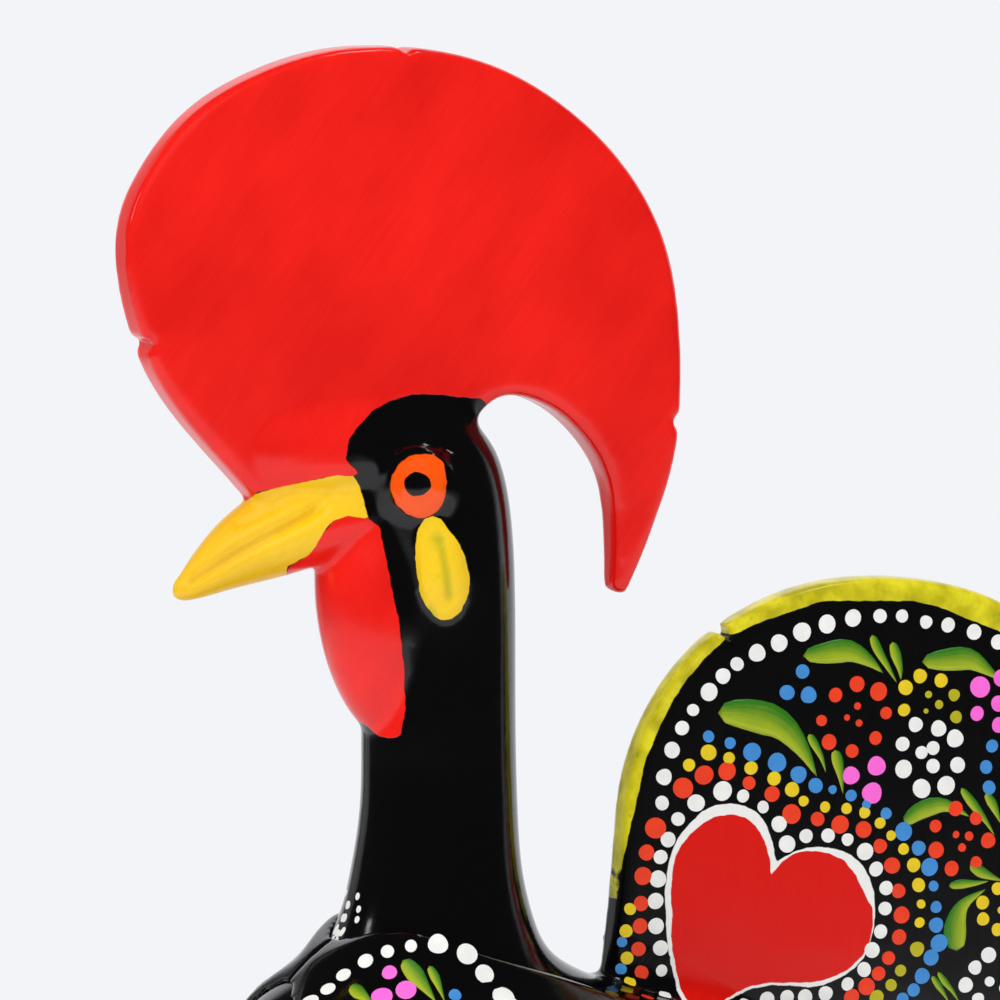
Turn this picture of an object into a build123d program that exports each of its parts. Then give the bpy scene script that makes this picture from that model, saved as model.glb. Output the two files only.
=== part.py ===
from build123d import *
import math
import os

# Rooster of Barcelos: a hand painted, hollow cast ornament on a bell base.
# It faces -X, its left side is at -Y, and it stands on the felt at z = 0.

# Heights of the whole figure, from the felt up
felt_thickness = 1.6
base_height = 56.4
leg_height = 70
body_depth = 104
neck_height = 105

base_top = felt_thickness + base_height
belly_z = base_top + leg_height
saddle_z = belly_z + body_depth
crown_z = saddle_z + neck_height

# Clearances and the overrun of every cut
glue_gap = 0.2
pin_fit = 0.1
overrun = 5

# Body, neck and head
body_length = 134
body_width = 78
body_centre_x = -15
neck_diameter = 27.6
neck_x = -40.5
wall = 3.5
body_ring_shares = [
    # height, centre, half length, half width
    (0.000, 0.050, 0.180, 0.245),
    (0.085, 0.045, 0.285, 0.350),
    (0.210, 0.030, 0.390, 0.430),
    (0.400, 0.015, 0.470, 0.490),
    (0.600, 0.000, 0.500, 0.500),
    (0.770, -0.045, 0.462, 0.465),
    (0.900, -0.112, 0.366, 0.382),
    (1.000, -0.195, 0.208, 0.268),
]
neck_ring_shares = [
    # height, centre, half length, half width
    (0.040, -0.035, 0.780, 0.670),
    (0.102, -0.020, 0.640, 0.600),
    (0.184, -0.015, 0.560, 0.552),
    (0.280, 0.000, 0.515, 0.515),
    (0.450, 0.000, 0.500, 0.500),
    (0.650, 0.000, 0.497, 0.497),
    (0.765, -0.035, 0.514, 0.507),
    (0.840, -0.070, 0.514, 0.493),
    (0.905, -0.110, 0.480, 0.442),
    (0.960, -0.180, 0.400, 0.350),
    (1.000, -0.250, 0.270, 0.225),
]
cavity_top_share = 0.77

# Eye bosses and ear lobes, raised on each side of the head
eye_boss_radius = 8
eye_lead = 5.8
eye_drop = 14.8
eye_y = neck_diameter * 0.275
eye_x = neck_x - eye_lead
eye_z = crown_z - eye_drop
lobe_height = 21
lobe_width = 10
lobe_lead = 3.1
lobe_drop = 29.4
lobe_y = neck_diameter * 0.35
lobe_x = neck_x - lobe_lead
lobe_z = crown_z - lobe_drop

# Comb
comb_length = 104.8
comb_height = 98.3
comb_lead = 59.5
comb_middle_thickness = 13
comb_edge_thickness = 7.5
comb_round = 1.5
comb_tongue_length = 16
comb_tongue_thickness = 5
comb_tongue_depth = 14
comb_root_length = 46
comb_root_width = 19
comb_pin_diameter = 2.5
comb_set_in = 1.6
comb_heel_share = 0.343
comb_front_x = neck_x - comb_lead
comb_foot_z = crown_z - comb_set_in - comb_heel_share * comb_height
comb_front_edge_shares = [(0.226, 0.184), (0.125, 0.304), (0.050, 0.416), (0.024, 0.487)]
comb_top_edge_shares = [
    (0.024, 0.487), (0.000, 0.593), (0.004, 0.703), (0.040, 0.785), (0.131, 0.895),
    (0.220, 0.949), (0.364, 0.995), (0.481, 1.000), (0.646, 0.967), (0.792, 0.881),
    (0.903, 0.764), (0.966, 0.644), (0.996, 0.494), (1.000, 0.333),
]
comb_hook_edge_shares = [(1.000, 0.333), (0.983, 0.204), (0.942, 0.088), (0.900, 0.003)]
comb_inner_edge_shares = [
    (0.875, 0.009), (0.877, 0.123), (0.860, 0.218), (0.825, 0.277), (0.775, 0.327),
    (0.713, 0.358), (0.668, 0.361), (0.642, 0.343),
]
comb_root_edge_shares = [(0.642, 0.343), (0.592, 0.290), (0.414, 0.222), (0.226, 0.184)]
comb_notch_shares = [(0.033, 0.470, 20), (0.497, 1.000, -85), (0.996, 0.304, 160)]

# Nicks filed in the edges of comb and tail
notch_depth = 2

# Beak
beak_length = 35.6
beak_height = 17
beak_width = 17
beak_drop = 14
beak_root_drop = 19.5
beak_root_x = neck_x - neck_diameter * 0.525
beak_root_z = crown_z - beak_root_drop
beak_ring_shares = [
    # reach from the root, drop of the centre, half height, half width
    (0.00, 0.00, 0.500, 0.500), (0.31, 0.20, 0.465, 0.480), (0.61, 0.41, 0.435, 0.400),
    (0.82, 0.70, 0.300, 0.280), (0.93, 0.90, 0.180, 0.180), (1.00, 1.00, 0.080, 0.070),
]

# Wattle
wattle_height = 38
wattle_depth = 27
wattle_width = 22
wattle_lead = 9.5
wattle_drop = 22.5
wattle_x = neck_x - wattle_lead
wattle_top_z = crown_z - wattle_drop
wattle_ring_shares = [
    # height from the tip, half depth, half width
    (0.00, 0.12, 0.16), (0.16, 0.30, 0.37), (0.34, 0.41, 0.46), (0.56, 0.48, 0.50),
    (0.78, 0.50, 0.47), (1.00, 0.46, 0.40),
]

# Tail fan
tail_diameter = 102.6
tail_set_back = 58.6
tail_rise = 18.5
tail_x = body_centre_x + tail_set_back
tail_z = saddle_z + tail_rise
tail_middle_thickness = 11
tail_edge_thickness = 7.5
tail_round = 1.5
tail_tongue_length = 34
tail_tongue_height = 44
tail_tongue_thickness = 5
tail_tongue_set_back = 35
tail_tongue_drop = 17
tail_tongue_x = body_centre_x + tail_tongue_set_back
tail_tongue_z = saddle_z - tail_tongue_drop
tail_rivet_diameter = 4
tail_rivet_pitch = 18
tail_rivet_z = tail_tongue_z - tail_tongue_height * 0.27
tail_notch_angles = (125, 40, -22)
tail_edge_shares = [
    (-1.025, -0.361), (-0.994, -0.205), (-0.979, -0.068), (-0.965, 0.088), (-0.943, 0.292),
    (-0.875, 0.497), (-0.766, 0.673), (-0.626, 0.809), (-0.501, 0.887), (-0.275, 0.973),
    (-0.031, 1.000), (0.209, 0.979), (0.491, 0.887), (0.700, 0.720), (0.866, 0.500),
    (0.986, 0.174), (0.982, -0.174), (0.883, -0.469), (0.710, -0.790), (0.437, -1.060),
    (0.164, -1.257),
]
tail_foot_shares = [(0.164, -1.257), (0.050, -1.320), (-0.700, -1.250), (-1.025, -0.361)]

# Wings
wing_thickness = 3
wing_length = 122
wing_height = 88
wing_lead = 62
wing_rise = 11
wing_front_x = body_centre_x - wing_lead
wing_foot_z = saddle_z + wing_rise - wing_height
wing_outline_shares = [
    (0.165, 0.990), (0.075, 0.900), (0.020, 0.780), (0.005, 0.600), (0.060, 0.380),
    (0.200, 0.165), (0.420, 0.030), (0.640, 0.010), (0.840, 0.100), (0.985, 0.300),
    (0.900, 0.480), (0.760, 0.660), (0.600, 0.800), (0.420, 0.900), (0.280, 0.965),
]
wing_rivet_diameter = 3
wing_rivet_tail = 2
wing_rivet_shares = [(0.250, 0.550), (0.800, 0.300)]

# Seam pins between the body halves
seam_pin_diameter = 3
seam_pin_length = 9
seam_boss_diameter = 9
seam_pin_ring_shares = [(0.600, 0.000, -0.455), (0.210, 0.030, 0.345)]
neck_seam_pin_share = 0.5

# Legs
leg_set_back = 7
leg_y = 12
leg_x = body_centre_x + leg_set_back
leg_profile_shares = [
    # height above the base, radius over the shank's
    (0.00, 1.12), (0.10, 1.00), (0.45, 0.96), (0.72, 1.16), (0.92, 1.50), (1.25, 1.66),
]
shank_radius = 7
toe_length = 25
toe_radius = 3.6
toe_angles = (172, 140, 199, 0)
toe_reach_shares = (1.00, 0.92, 0.92, 0.62)

# Rods, nuts and washers, M5
rod_diameter = 5
rod_hole_diameter = 5.5
nut_flats = 8
nut_height = 4
washer_diameter = 10
washer_thickness = 1
rod_end = 2.5

# Bell base
base_diameter = 122
base_top_diameter = 74
base_rim_height = 7
base_wall = 4
base_round = 3
base_waist_share = 0.22
felt_inset = 1.5


def rings_of_form(grow, top_share=1.0):
    """Height, centre and half axes of each ring of the body, neck and head."""
    rings = []
    for height, centre, half_length, half_width in body_ring_shares:
        rings.append((
            belly_z + height * body_depth,
            body_centre_x + centre * body_length,
            half_length * body_length + grow,
            half_width * body_width + grow,
        ))
    for height, centre, half_length, half_width in neck_ring_shares:
        if height <= top_share:
            rings.append((
                saddle_z + height * neck_height,
                neck_x + centre * neck_diameter,
                half_length * neck_diameter + grow,
                half_width * neck_diameter + grow,
            ))
    return rings


def body_form(grow, first=0, top_share=1.0):
    """Solid form of body, neck and head, grown all round by a length."""
    with BuildPart() as form:
        for z, x, half_length, half_width in rings_of_form(grow, top_share)[first:]:
            with BuildSketch(Plane.XY.offset(z)):
                with Locations((x, 0)):
                    Ellipse(half_length, half_width)
        loft()
    return form.part


def cross_bars(places, diameter, length):
    """Round bars across the figure, centred on its middle plane."""
    with BuildPart() as bars:
        with BuildSketch(Plane.XZ):
            with Locations(places):
                Circle(diameter / 2)
        extrude(amount=length / 2, both=True)
    return bars.part


def spots(shares, start, size):
    """Points of an outline from its shares of a length and a height."""
    return [(start[0] + s * size[0], start[1] + t * size[1]) for s, t in shares]


outer_form = body_form(0)
seat_form = body_form(glue_gap)
cavity_form = body_form(-wall, first=1, top_share=cavity_top_share)
boss_form = body_form(-wall / 2)
wing_form = body_form(wing_thickness + glue_gap)


def beak_form(grow):
    """Solid form of the beak, from inside the head to its tip."""
    with BuildPart() as form:
        for reach, drop, half_height, half_width in beak_ring_shares:
            with BuildSketch(Plane.YZ.offset(beak_root_x - reach * beak_length)):
                with Locations((0, beak_root_z - drop * beak_drop)):
                    Ellipse(half_width * beak_width + grow, half_height * beak_height + grow)
        loft()
    return form.part


beak_seat_form = beak_form(glue_gap)

# Tongue of the comb, and the slot for it in the crown
comb_tongue_x = neck_x - comb_tongue_length * 0.42
comb_tongue_top = crown_z + comb_tongue_depth * 0.5
comb_pin_places = [
    (comb_tongue_x - comb_tongue_length / 4, crown_z - comb_tongue_depth * 0.6),
    (comb_tongue_x + comb_tongue_length / 4, crown_z - comb_tongue_depth * 0.6),
]
comb_pin_holes = cross_bars(comb_pin_places, comb_pin_diameter + 2 * pin_fit, body_width)

# Places of the rivets through the tail's tongue
tail_rivet_places = [
    (tail_tongue_x - tail_rivet_pitch / 2, tail_rivet_z),
    (tail_tongue_x + tail_rivet_pitch / 2, tail_rivet_z),
]
tail_rivet_holes = cross_bars(
    tail_rivet_places, tail_rivet_diameter + 2 * pin_fit, 2 * body_width
)


def comb_plate_points(shares):
    """Points of the comb's outline from their shares."""
    return spots(shares, (comb_front_x, comb_foot_z), (comb_length, comb_height))


def face_radius(reach, middle, edge):
    """Radius of a face that swells from an edge thickness to a middle one."""
    rise = (middle - edge) / 2
    return (reach**2 + rise**2) / (2 * rise)


# Comb
comb_face_radius = face_radius(comb_length * 0.58, comb_middle_thickness, comb_edge_thickness)
comb_middle_x = comb_front_x + comb_length / 2
comb_middle_z = comb_foot_z + comb_height * 0.56
comb_face_y = comb_face_radius - comb_middle_thickness / 2
comb_root_x = comb_plate_points([(0.40, 0)])[0][0]
comb_root_z = crown_z - comb_root_width * 0.45
with BuildPart() as comb:
    with BuildSketch(Plane.XZ):
        with BuildLine():
            Spline(*comb_plate_points(comb_front_edge_shares))
            Spline(*comb_plate_points(comb_top_edge_shares))
            Spline(*comb_plate_points(comb_hook_edge_shares))
            Polyline(*comb_plate_points([comb_hook_edge_shares[-1], comb_inner_edge_shares[0]]))
            Spline(*comb_plate_points(comb_inner_edge_shares))
            Polyline(*comb_plate_points(comb_root_edge_shares))
        make_face()
    extrude(amount=comb_middle_thickness, both=True)
    with Locations((comb_middle_x, comb_face_y, comb_middle_z)):
        Sphere(comb_face_radius, mode=Mode.INTERSECT)
    with Locations((comb_middle_x, -comb_face_y, comb_middle_z)):
        Sphere(comb_face_radius, mode=Mode.INTERSECT)
    fillet(comb.faces().filter_by(GeomType.SPHERE).edges(), comb_round)
    with BuildSketch(Plane.XZ):
        for s, t, turn in comb_notch_shares:
            with Locations(Location(comb_plate_points([(s, t)])[0], turn)):
                RegularPolygon(notch_depth, 3)
    extrude(amount=comb_middle_thickness, both=True, mode=Mode.SUBTRACT)
    with BuildSketch(Plane.XZ):
        with Locations((comb_root_x, comb_root_z)):
            Ellipse(comb_root_length / 2, comb_root_width / 2)
            Rectangle(
                comb_root_length, comb_root_width, align=(Align.CENTER, Align.MAX),
                mode=Mode.SUBTRACT,
            )
    revolve(axis=Axis((comb_root_x, 0, comb_root_z), (1, 0, 0)))
    add(seat_form, mode=Mode.SUBTRACT)
    add(beak_seat_form, mode=Mode.SUBTRACT)
    with Locations((eye_x, -eye_y, eye_z), (eye_x, eye_y, eye_z)):
        Sphere(eye_boss_radius + glue_gap, mode=Mode.SUBTRACT)
    with BuildSketch(Plane.XZ):
        with Locations((comb_tongue_x, comb_tongue_top)):
            Rectangle(
                comb_tongue_length, comb_tongue_top - crown_z + comb_tongue_depth,
                align=(Align.CENTER, Align.MAX),
            )
    extrude(amount=comb_tongue_thickness / 2, both=True)
    add(comb_pin_holes, mode=Mode.SUBTRACT)
comb.part.label = "comb"

# Slot in the crown for the comb's tongue
with BuildPart() as comb_slot:
    with BuildSketch(Plane.XZ):
        with Locations((comb_tongue_x, comb_tongue_top)):
            Rectangle(
                comb_tongue_length + 2 * glue_gap,
                comb_tongue_top - crown_z + comb_tongue_depth + glue_gap,
                align=(Align.CENTER, Align.MAX),
            )
    extrude(amount=comb_tongue_thickness / 2 + glue_gap, both=True)

# Pins across the crown and the comb's tongue, dressed flush under the paint
with BuildPart() as comb_pins:
    add(cross_bars(comb_pin_places, comb_pin_diameter, body_width))
    add(boss_form, mode=Mode.INTERSECT)
comb_pins.part.label = "comb_pins"

# Tail fan: a round plate that sits on the back, with a tongue into the body
tail_radius = tail_diameter / 2
tail_face_radius = face_radius(tail_radius, tail_middle_thickness, tail_edge_thickness)
tail_face_y = tail_face_radius - tail_middle_thickness / 2
tail_centre = (tail_x, tail_z)
tail_scale = (tail_radius, tail_radius)
with BuildPart() as tail_fan:
    with BuildSketch(Plane.XZ):
        with BuildLine():
            Spline(*spots(tail_edge_shares, tail_centre, tail_scale))
            Polyline(*spots(tail_foot_shares, tail_centre, tail_scale))
        make_face()
    extrude(amount=tail_middle_thickness, both=True)
    with Locations((tail_x, tail_face_y, tail_z)):
        Sphere(tail_face_radius, mode=Mode.INTERSECT)
    with Locations((tail_x, -tail_face_y, tail_z)):
        Sphere(tail_face_radius, mode=Mode.INTERSECT)
    fillet(tail_fan.faces().filter_by(GeomType.SPHERE).edges(), tail_round)
    with BuildSketch(Plane.XZ):
        for angle in tail_notch_angles:
            place = Vector(tail_radius, 0).rotate(Axis.Z, angle) + Vector(tail_x, tail_z)
            with Locations(Location((place.X, place.Y), angle + 180)):
                RegularPolygon(notch_depth, 3)
    extrude(amount=tail_middle_thickness, both=True, mode=Mode.SUBTRACT)
    add(seat_form, mode=Mode.SUBTRACT)
    with BuildSketch(Plane.XZ):
        with Locations((tail_tongue_x, tail_tongue_z)):
            Rectangle(tail_tongue_length, tail_tongue_height)
    extrude(amount=tail_tongue_thickness / 2, both=True)
    add(tail_rivet_holes, mode=Mode.SUBTRACT)
tail_fan.part.label = "tail_fan"

# Slot in the back for the tail's tongue
with BuildPart() as tail_slot:
    with BuildSketch(Plane.XZ):
        with Locations((tail_tongue_x, tail_tongue_z)):
            Rectangle(tail_tongue_length + 2 * glue_gap, tail_tongue_height + 2 * glue_gap)
    extrude(amount=tail_tongue_thickness / 2 + glue_gap, both=True)

# Rivets across both flanks and the tail's tongue
with BuildPart() as tail_rivets:
    add(cross_bars(tail_rivet_places, tail_rivet_diameter, 2 * body_width))
    add(outer_form, mode=Mode.INTERSECT)
tail_rivets.part.label = "tail_rivets"

# Beak
with BuildPart() as beak:
    add(beak_form(0))
    add(seat_form, mode=Mode.SUBTRACT)
beak.part.label = "beak"

# Wattle
with BuildPart() as wattle:
    for height, half_depth, half_width in wattle_ring_shares:
        with BuildSketch(Plane.XY.offset(wattle_top_z - (1 - height) * wattle_height)):
            with Locations((wattle_x, 0)):
                Ellipse(half_depth * wattle_depth, half_width * wattle_width)
    loft()
    add(seat_form, mode=Mode.SUBTRACT)
    add(beak_seat_form, mode=Mode.SUBTRACT)
wattle.part.label = "wattle"

# Wings: curved plates that follow the flanks, each on two rivets
wing_start = (wing_front_x, wing_foot_z)
wing_size = (wing_length, wing_height)
wing_rivet_places = spots(wing_rivet_shares, wing_start, wing_size)
wing_rivet_holes = cross_bars(
    wing_rivet_places, wing_rivet_diameter + 2 * pin_fit, 2 * body_width
)


def wing(side):
    """The wing of one side, from an outline and the form of the body."""
    with BuildPart() as plate:
        with BuildSketch(Plane.XZ):
            with BuildLine():
                Spline(*spots(wing_outline_shares, wing_start, wing_size), periodic=True)
            make_face()
        extrude(amount=-side * body_width)
        add(wing_form, mode=Mode.INTERSECT)
        add(seat_form, mode=Mode.SUBTRACT)
        add(wing_rivet_holes, mode=Mode.SUBTRACT)
    return plate.part


left_wing = wing(-1)
left_wing.label = "left_wing"
right_wing = wing(1)
right_wing.label = "right_wing"

# Rivets of the wings, flush with the wings and ending inside the body
with BuildPart() as wing_rivets:
    add(cross_bars(wing_rivet_places, wing_rivet_diameter, 2 * body_width))
    add(wing_form, mode=Mode.INTERSECT)
    add(body_form(-wall - wing_rivet_tail), mode=Mode.SUBTRACT)
wing_rivets.part.label = "wing_rivets"

# Dowels and bosses along the seam between the body halves, at neck, chest and rump
seam_pin_places = [(neck_x, saddle_z + neck_height * neck_seam_pin_share)]
for height, centre, reach in seam_pin_ring_shares:
    seam_pin_places.append(
        (body_centre_x + (centre + reach) * body_length, belly_z + height * body_depth)
    )
seam_pin_holes = cross_bars(
    seam_pin_places, seam_pin_diameter + 2 * pin_fit, seam_pin_length + 2 * pin_fit
)
with BuildPart() as seam_pins:
    add(cross_bars(seam_pin_places, seam_pin_diameter, seam_pin_length))
seam_pins.part.label = "seam_pins"

rivet_sleeves = cross_bars(tail_rivet_places, tail_rivet_diameter * 2, 2 * body_width)
with BuildPart() as bosses:
    add(cross_bars(seam_pin_places, seam_boss_diameter, neck_diameter))
    add(rivet_sleeves)
    add(boss_form, mode=Mode.INTERSECT)

# Both body halves: the form, the eye bosses and ear lobes, less the cavity and its slots
rod_places = [(leg_x, -leg_y), (leg_x, leg_y)]
rim_top = felt_thickness + base_rim_height
floor_z = belly_z + body_ring_shares[1][0] * body_depth
with BuildPart() as rod_holes:
    with BuildSketch(Plane.XY.offset(rim_top)):
        with Locations(rod_places):
            Circle(rod_hole_diameter / 2)
    extrude(amount=floor_z + overrun - rim_top)

with BuildPart() as body_casting:
    add(outer_form)
    for side in (-1, 1):
        with Locations((eye_x, side * eye_y, eye_z)):
            Sphere(eye_boss_radius)
        with BuildSketch(Plane.YZ.offset(lobe_x)):
            with Locations((side * lobe_y, lobe_z)):
                Ellipse(lobe_width / 2, lobe_height / 2)
                Rectangle(lobe_width, lobe_height, align=(Align.MAX, Align.CENTER),
                          mode=Mode.SUBTRACT)
        revolve(axis=Axis((lobe_x, side * lobe_y, lobe_z), (0, 0, 1)))
    add(cavity_form, mode=Mode.SUBTRACT)
    add(bosses.part)
    add(comb_slot.part, mode=Mode.SUBTRACT)
    add(tail_slot.part, mode=Mode.SUBTRACT)
    add(comb_pin_holes, mode=Mode.SUBTRACT)
    add(tail_rivet_holes, mode=Mode.SUBTRACT)
    add(wing_rivet_holes, mode=Mode.SUBTRACT)
    add(seam_pin_holes, mode=Mode.SUBTRACT)
    add(rod_holes.part, mode=Mode.SUBTRACT)

with BuildPart() as left_body_half:
    add(body_casting.part)
    split(bisect_by=Plane.XZ, keep=Keep.TOP)
left_body_half.part.label = "left_body_half"

with BuildPart() as right_body_half:
    add(body_casting.part)
    split(bisect_by=Plane.XZ, keep=Keep.BOTTOM)
right_body_half.part.label = "right_body_half"


def leg(side):
    """The leg of one side with its toes, bored for its rod."""
    with BuildPart() as limb:
        with BuildSketch(Plane.XZ.offset(-side * leg_y)):
            with BuildLine():
                profile = [
                    (leg_x + radius * shank_radius, base_top + height * leg_height)
                    for height, radius in leg_profile_shares
                ]
                Spline(*profile)
                Polyline(
                    profile[-1], (leg_x, profile[-1][1]), (leg_x, base_top), profile[0]
                )
            make_face()
        revolve(axis=Axis((leg_x, side * leg_y, 0), (0, 0, 1)))
        for angle, reach in zip(toe_angles, toe_reach_shares):
            turn = math.radians(angle)
            way = Vector(math.cos(turn), side * math.sin(turn), 0)
            start = Vector(leg_x, side * leg_y, base_top)
            with BuildSketch(Plane(start, x_dir=Vector(0, 0, 1).cross(way), z_dir=way)):
                Circle(toe_radius)
                Rectangle(
                    2 * toe_radius, toe_radius, align=(Align.CENTER, Align.MAX),
                    mode=Mode.SUBTRACT,
                )
            extrude(amount=toe_length * reach)
        add(seat_form, mode=Mode.SUBTRACT)
        add(rod_holes.part, mode=Mode.SUBTRACT)
    return limb.part


left_leg = leg(-1)
left_leg.label = "left_leg"
right_leg = leg(1)
right_leg.label = "right_leg"

# Bell base, hollow, standing on its rim
rim_radius = base_diameter / 2
top_radius = base_top_diameter / 2
waist_radius = top_radius + (rim_radius - top_radius) * base_waist_share
waist_z = (base_top + rim_top) / 2
under_top = base_top - base_wall
corner = base_round * math.sqrt(0.5)
with BuildPart() as base_bell:
    with BuildSketch(Plane.XZ):
        with BuildLine():
            Polyline((0, under_top), (0, base_top), (top_radius - base_round, base_top))
            ThreePointArc(
                (top_radius - base_round, base_top),
                (top_radius - base_round + corner, base_top - base_round + corner),
                (top_radius, base_top - base_round),
            )
            Spline(
                (top_radius, base_top - base_round), (waist_radius, waist_z),
                (rim_radius, rim_top), tangents=((0, -1), (1, -0.35)),
            )
            Polyline(
                (rim_radius, rim_top), (rim_radius, felt_thickness),
                (rim_radius - base_wall, felt_thickness), (rim_radius - base_wall, rim_top),
            )
            Spline(
                (rim_radius - base_wall, rim_top), (waist_radius - base_wall, waist_z),
                (top_radius - base_wall, under_top), tangents=((-1, 0.6), (0, 1)),
            )
            Line((top_radius - base_wall, under_top), (0, under_top))
        make_face()
    revolve(axis=Axis.Z)
    add(rod_holes.part, mode=Mode.SUBTRACT)
base_bell.part.label = "base_bell"

# Felt
with BuildPart() as felt_pad:
    with BuildSketch():
        Circle(rim_radius - felt_inset)
    extrude(amount=felt_thickness)
felt_pad.part.label = "felt_pad"

# Rods through the legs, with a washer and a nut at each end
nut_seats = [(base_top - base_wall, -1), (floor_z, 1)]
with BuildPart() as leg_rods:
    rod_foot = base_top - base_wall - washer_thickness - nut_height - rod_end
    rod_head = floor_z + washer_thickness + nut_height + rod_end
    with BuildSketch(Plane.XY.offset(rod_foot)):
        with Locations(rod_places):
            Circle(rod_diameter / 2)
    extrude(amount=rod_head - rod_foot)
leg_rods.part.label = "leg_rods"

with BuildPart() as rod_washers:
    for seat, way in nut_seats:
        with BuildSketch(Plane.XY.offset(seat)):
            with Locations(rod_places):
                Circle(washer_diameter / 2)
                Circle(rod_hole_diameter / 2, mode=Mode.SUBTRACT)
        extrude(amount=way * washer_thickness)
rod_washers.part.label = "rod_washers"

with BuildPart() as rod_nuts:
    for seat, way in nut_seats:
        with BuildSketch(Plane.XY.offset(seat + way * washer_thickness)):
            with Locations(rod_places):
                RegularPolygon(nut_flats / 2, 6, major_radius=False)
                Circle(rod_diameter / 2, mode=Mode.SUBTRACT)
        extrude(amount=way * nut_height)
rod_nuts.part.label = "rod_nuts"

pieces = [
    left_body_half.part, right_body_half.part, comb.part, beak.part, wattle.part,
    left_wing, right_wing, tail_fan.part, left_leg, right_leg, base_bell.part,
    felt_pad.part, leg_rods.part, rod_washers.part, rod_nuts.part, seam_pins.part,
    comb_pins.part, tail_rivets.part, wing_rivets.part,
]
os.makedirs("parts", exist_ok=True)
for piece in pieces:
    export_step(piece, f"parts/{piece.label}.step")
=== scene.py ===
import math
import random

import bmesh
import bpy
import numpy as np
from mathutils import Matrix, Vector
from mathutils.bvhtree import BVHTree


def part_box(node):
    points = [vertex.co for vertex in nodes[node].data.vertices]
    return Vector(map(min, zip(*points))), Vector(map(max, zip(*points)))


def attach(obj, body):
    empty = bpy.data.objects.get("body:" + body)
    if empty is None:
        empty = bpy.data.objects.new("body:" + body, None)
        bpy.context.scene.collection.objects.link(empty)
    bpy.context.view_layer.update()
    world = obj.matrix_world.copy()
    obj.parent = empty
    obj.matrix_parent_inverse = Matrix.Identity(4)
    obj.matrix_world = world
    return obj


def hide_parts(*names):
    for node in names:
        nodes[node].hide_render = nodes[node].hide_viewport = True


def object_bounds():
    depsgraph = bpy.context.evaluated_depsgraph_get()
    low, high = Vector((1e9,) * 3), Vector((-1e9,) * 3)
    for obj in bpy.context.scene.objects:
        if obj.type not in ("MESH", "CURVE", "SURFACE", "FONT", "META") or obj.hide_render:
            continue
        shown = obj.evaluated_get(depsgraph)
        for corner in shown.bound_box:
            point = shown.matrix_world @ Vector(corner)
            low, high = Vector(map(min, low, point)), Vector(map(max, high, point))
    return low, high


bl_info = {
    "name": "Painted cast rooster",
    "version": (1, 0, 0),
    "blender": (4, 5, 0),
    "location": "3D Viewport > Sidebar > Rooster",
    "description": "Dresses the rooster's castings in hand-painted gloss enamel",
    "category": "Object",
}

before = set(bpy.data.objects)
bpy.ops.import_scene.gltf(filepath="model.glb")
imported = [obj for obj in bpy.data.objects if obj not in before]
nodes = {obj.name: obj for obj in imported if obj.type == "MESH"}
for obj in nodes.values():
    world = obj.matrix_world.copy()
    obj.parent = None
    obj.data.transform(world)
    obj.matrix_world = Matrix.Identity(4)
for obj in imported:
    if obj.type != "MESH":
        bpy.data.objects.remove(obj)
cad_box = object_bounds()
mm = 0.001


def from_hex(colour):
    """Turns an sRGB hex colour into linear red, green and blue, with full alpha."""
    parts = [int(colour[i : i + 2], 16) / 255 for i in (1, 3, 5)]
    linear = [p / 12.92 if p <= 0.04045 else ((p + 0.055) / 1.055) ** 2.4 for p in parts]
    return (*linear, 1.0)


def colour_setting(name, description, colour):
    """A colour that a user can change, given as sRGB hex."""
    return bpy.props.FloatVectorProperty(
        name=name,
        description=description,
        subtype="COLOR",
        size=4,
        min=0,
        max=1,
        default=from_hex(colour),
    )


def length_setting(name, description, size):
    """A length in metres that a user can change, given in millimetres."""
    return bpy.props.FloatProperty(
        name=name, description=description, unit="LENGTH", default=size * mm
    )


def turn_setting(name, description, degrees):
    """An angle that a user can change, given in degrees."""
    return bpy.props.FloatProperty(
        name=name, description=description, unit="ROTATION", default=math.radians(degrees)
    )


class CastingSizes(bpy.types.PropertyGroup):
    """How finely the castings are formed and how softly they were fettled."""

    grain: length_setting("Grain", "Spacing of the points on a casting", 0.6)
    glue_gap: length_setting("Glue gap", "Thickness that closes a glued joint", 0.15)
    fettling: bpy.props.IntProperty(
        name="Fettling", description="Smoothing passes over each casting", default=10
    )
    head_blend: length_setting("Head blend", "Reach of the filled comb joint", 7)
    tail_blend: length_setting("Tail blend", "Reach of the filled tail joint", 7)
    face_blend: length_setting("Face blend", "Reach of the beak and wattle joints", 2.6)


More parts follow.
